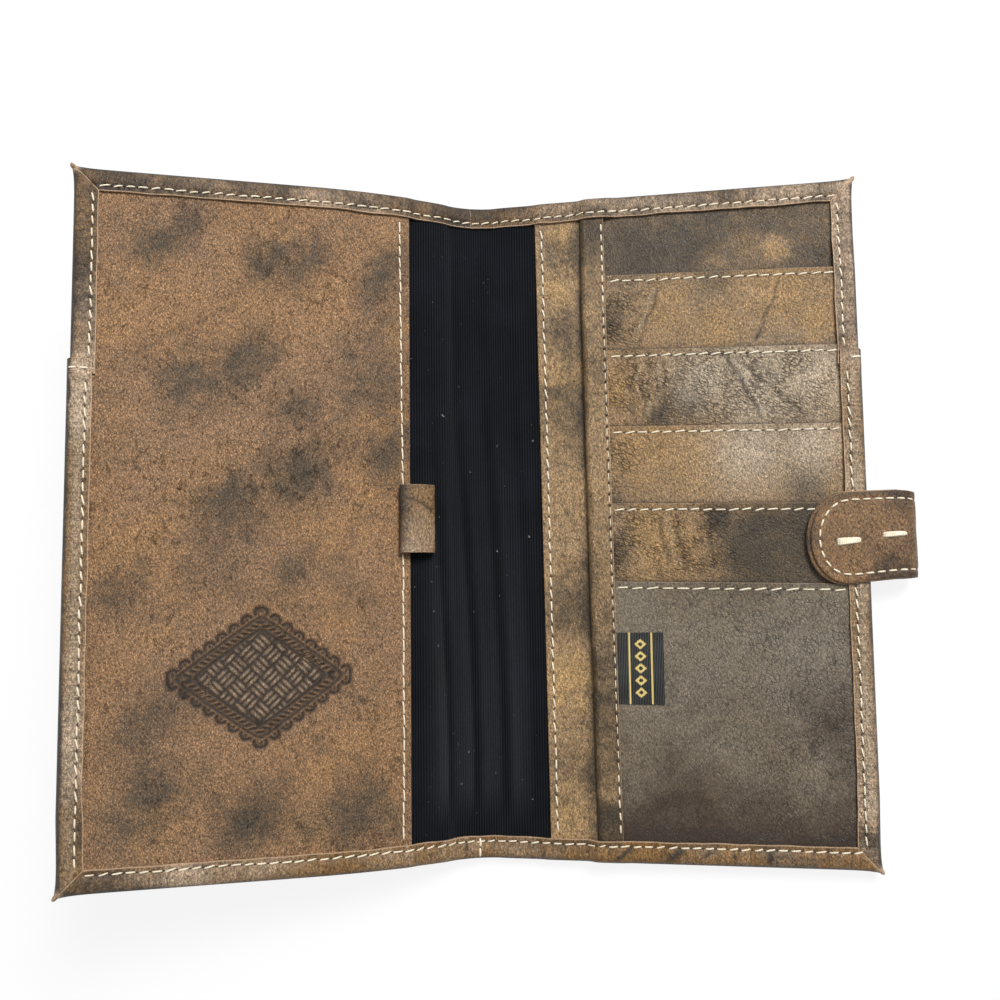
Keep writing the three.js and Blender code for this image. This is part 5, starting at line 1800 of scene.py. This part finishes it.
# %% Sew the strap
def strap_seam(drop):
    """Path round the strap's tab, a set distance in from its edge, as points a drop below its top."""
    seam_round = STRAP_TIP_ROUND - STRAP_SEAM_IN
    to_tip = STRAP_SEAM_IN + seam_round * (1 - np.cos(np.linspace(0, np.pi / 2, 40)))
    to_tip = np.concatenate([to_tip, np.linspace(STRAP_TIP_ROUND + 1, STRAP_TAPER, 40)])
    short_of_round = 1 - np.clip((to_tip - STRAP_SEAM_IN) / seam_round, 0, 1)
    inner_round = np.sqrt(np.clip(1 - short_of_round**2, 0, 1))
    half = np.minimum(strap_half(to_tip) - STRAP_SEAM_IN, (STRAP_TIP_HALF - STRAP_SEAM_IN) * inner_round)
    x, z = strap_path(STRAP_LENGTH - to_tip)[:2]
    middle = STRAP_MIDDLE + strap_shift(STRAP_LENGTH - to_tip)
    upper = np.stack([x, middle + half, z], axis=-1)
    lower = np.stack([x, middle - half, z], axis=-1)
    return np.concatenate([upper[::-1], lower[1:]]) - np.array([0, 0, drop])


def sew_points(name, path, up, holder, pitch, radius=0.36):
    """A seam along points in space, with one direction that is up for every stitch."""
    knots = step_along(path, pitch)
    middle = (knots[1:] + knots[:-1]) / 2
    reach = (knots[1:] - knots[:-1]) / 2 * 0.76
    upward = np.broadcast_to(np.array(up, dtype=float), middle.shape)
    settle(make_beads(name, middle - reach, middle + reach, upward, radius, cream_thread), holder)


STRAP_STACK = 2.4
ROOT_SEAM_IN, ROOT_SEAM_LENGTH = 3.0, 21.0
sew_points("seam_strap", strap_seam(0.15), (0, 0, 1), "strap", 3.9)
sew_points("seam_strap_under", strap_seam(STRAP_STACK - 0.15), (0, 0, -1), "strap", 3.9)
root_near = root_left + ROOT_SEAM_IN
root_far = root_left + ROOT_SEAM_LENGTH
root_half = STRAP_HALF - ROOT_SEAM_IN
root_box = [(root_far, 1), (root_near, 1), (root_near, -1), (root_far, -1), (root_far, 1)]
root_path = np.array([[x, STRAP_MIDDLE + side * root_half, 0.3] for x, side in root_box])
sew_points("seam_strap_root", root_path, (0, 0, -1), "back_cover", 4.1, 0.26)

# %% Sew the two bars of the strap
BARS = [
    ((118.0, -9.9), (127.0, -9.2), (-0.8, 0.0, 0.8)),
    ((133.6, -7.7), (142.3, -7.2), (-0.42, 0.42)),
]
bar_level = tab_top - 0.05
through = np.array([0, 0, STRAP_STACK - 0.2])
for number, (bar_start, bar_end, offsets) in enumerate(BARS):
    name = f"strap_bar_{number + 1}"
    aside = np.array([[0, offset, 0] for offset in offsets])
    start = np.array([*bar_start, bar_level]) + aside
    end = np.array([*bar_end, bar_level]) + 0.35 * aside
    upward = np.array([[0, 0, 1.0]] * len(offsets))
    settle(make_beads(name, start, end, upward, 0.72, cream_thread), "strap")
    settle(make_beads(name + "_under", start - through, end - through, -upward, 0.5, cream_thread), "strap")


# %% Sew the splices of the binding
def sew_splice(name, side, run, insets, holder, out, lap=LAP):
    """One or two long stitches across the binding where one strip ends and the next begins."""
    inset = np.array(insets)
    along, across = side_place(side, np.full(2, run), inset - out)
    level = binding_top(side, np.full(2, run), inset) + lap + 0.05
    sew(name, along, across, level, holder, pitch=3.4, radius=0.4, fill=0.95, slant=0.1)


sew_splice("splice_left", "left", 52.6, (0.6, 7.4), "front_cover", LEFT_OUT)
sew_splice("splice_right", "right", 57.0, (0.6, 4.4), "back_cover", RIGHT_OUT)
sew_splice("splice_bottom", "bottom", SPINE_MIDDLE + 1.6, (0.9, 8.0), BACK_HINGE, 0.0, lap=0.1)

# %% [markdown]
# ## Size of the dressed wallet
# The box round the dressed wallet is printed in millimetres. The dressed wallet may stand only a
# little proud of the CAD box.

# %% Finish
low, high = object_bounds()
print("visual box in mm:", [round(side / MM, 1) for side in high - low])
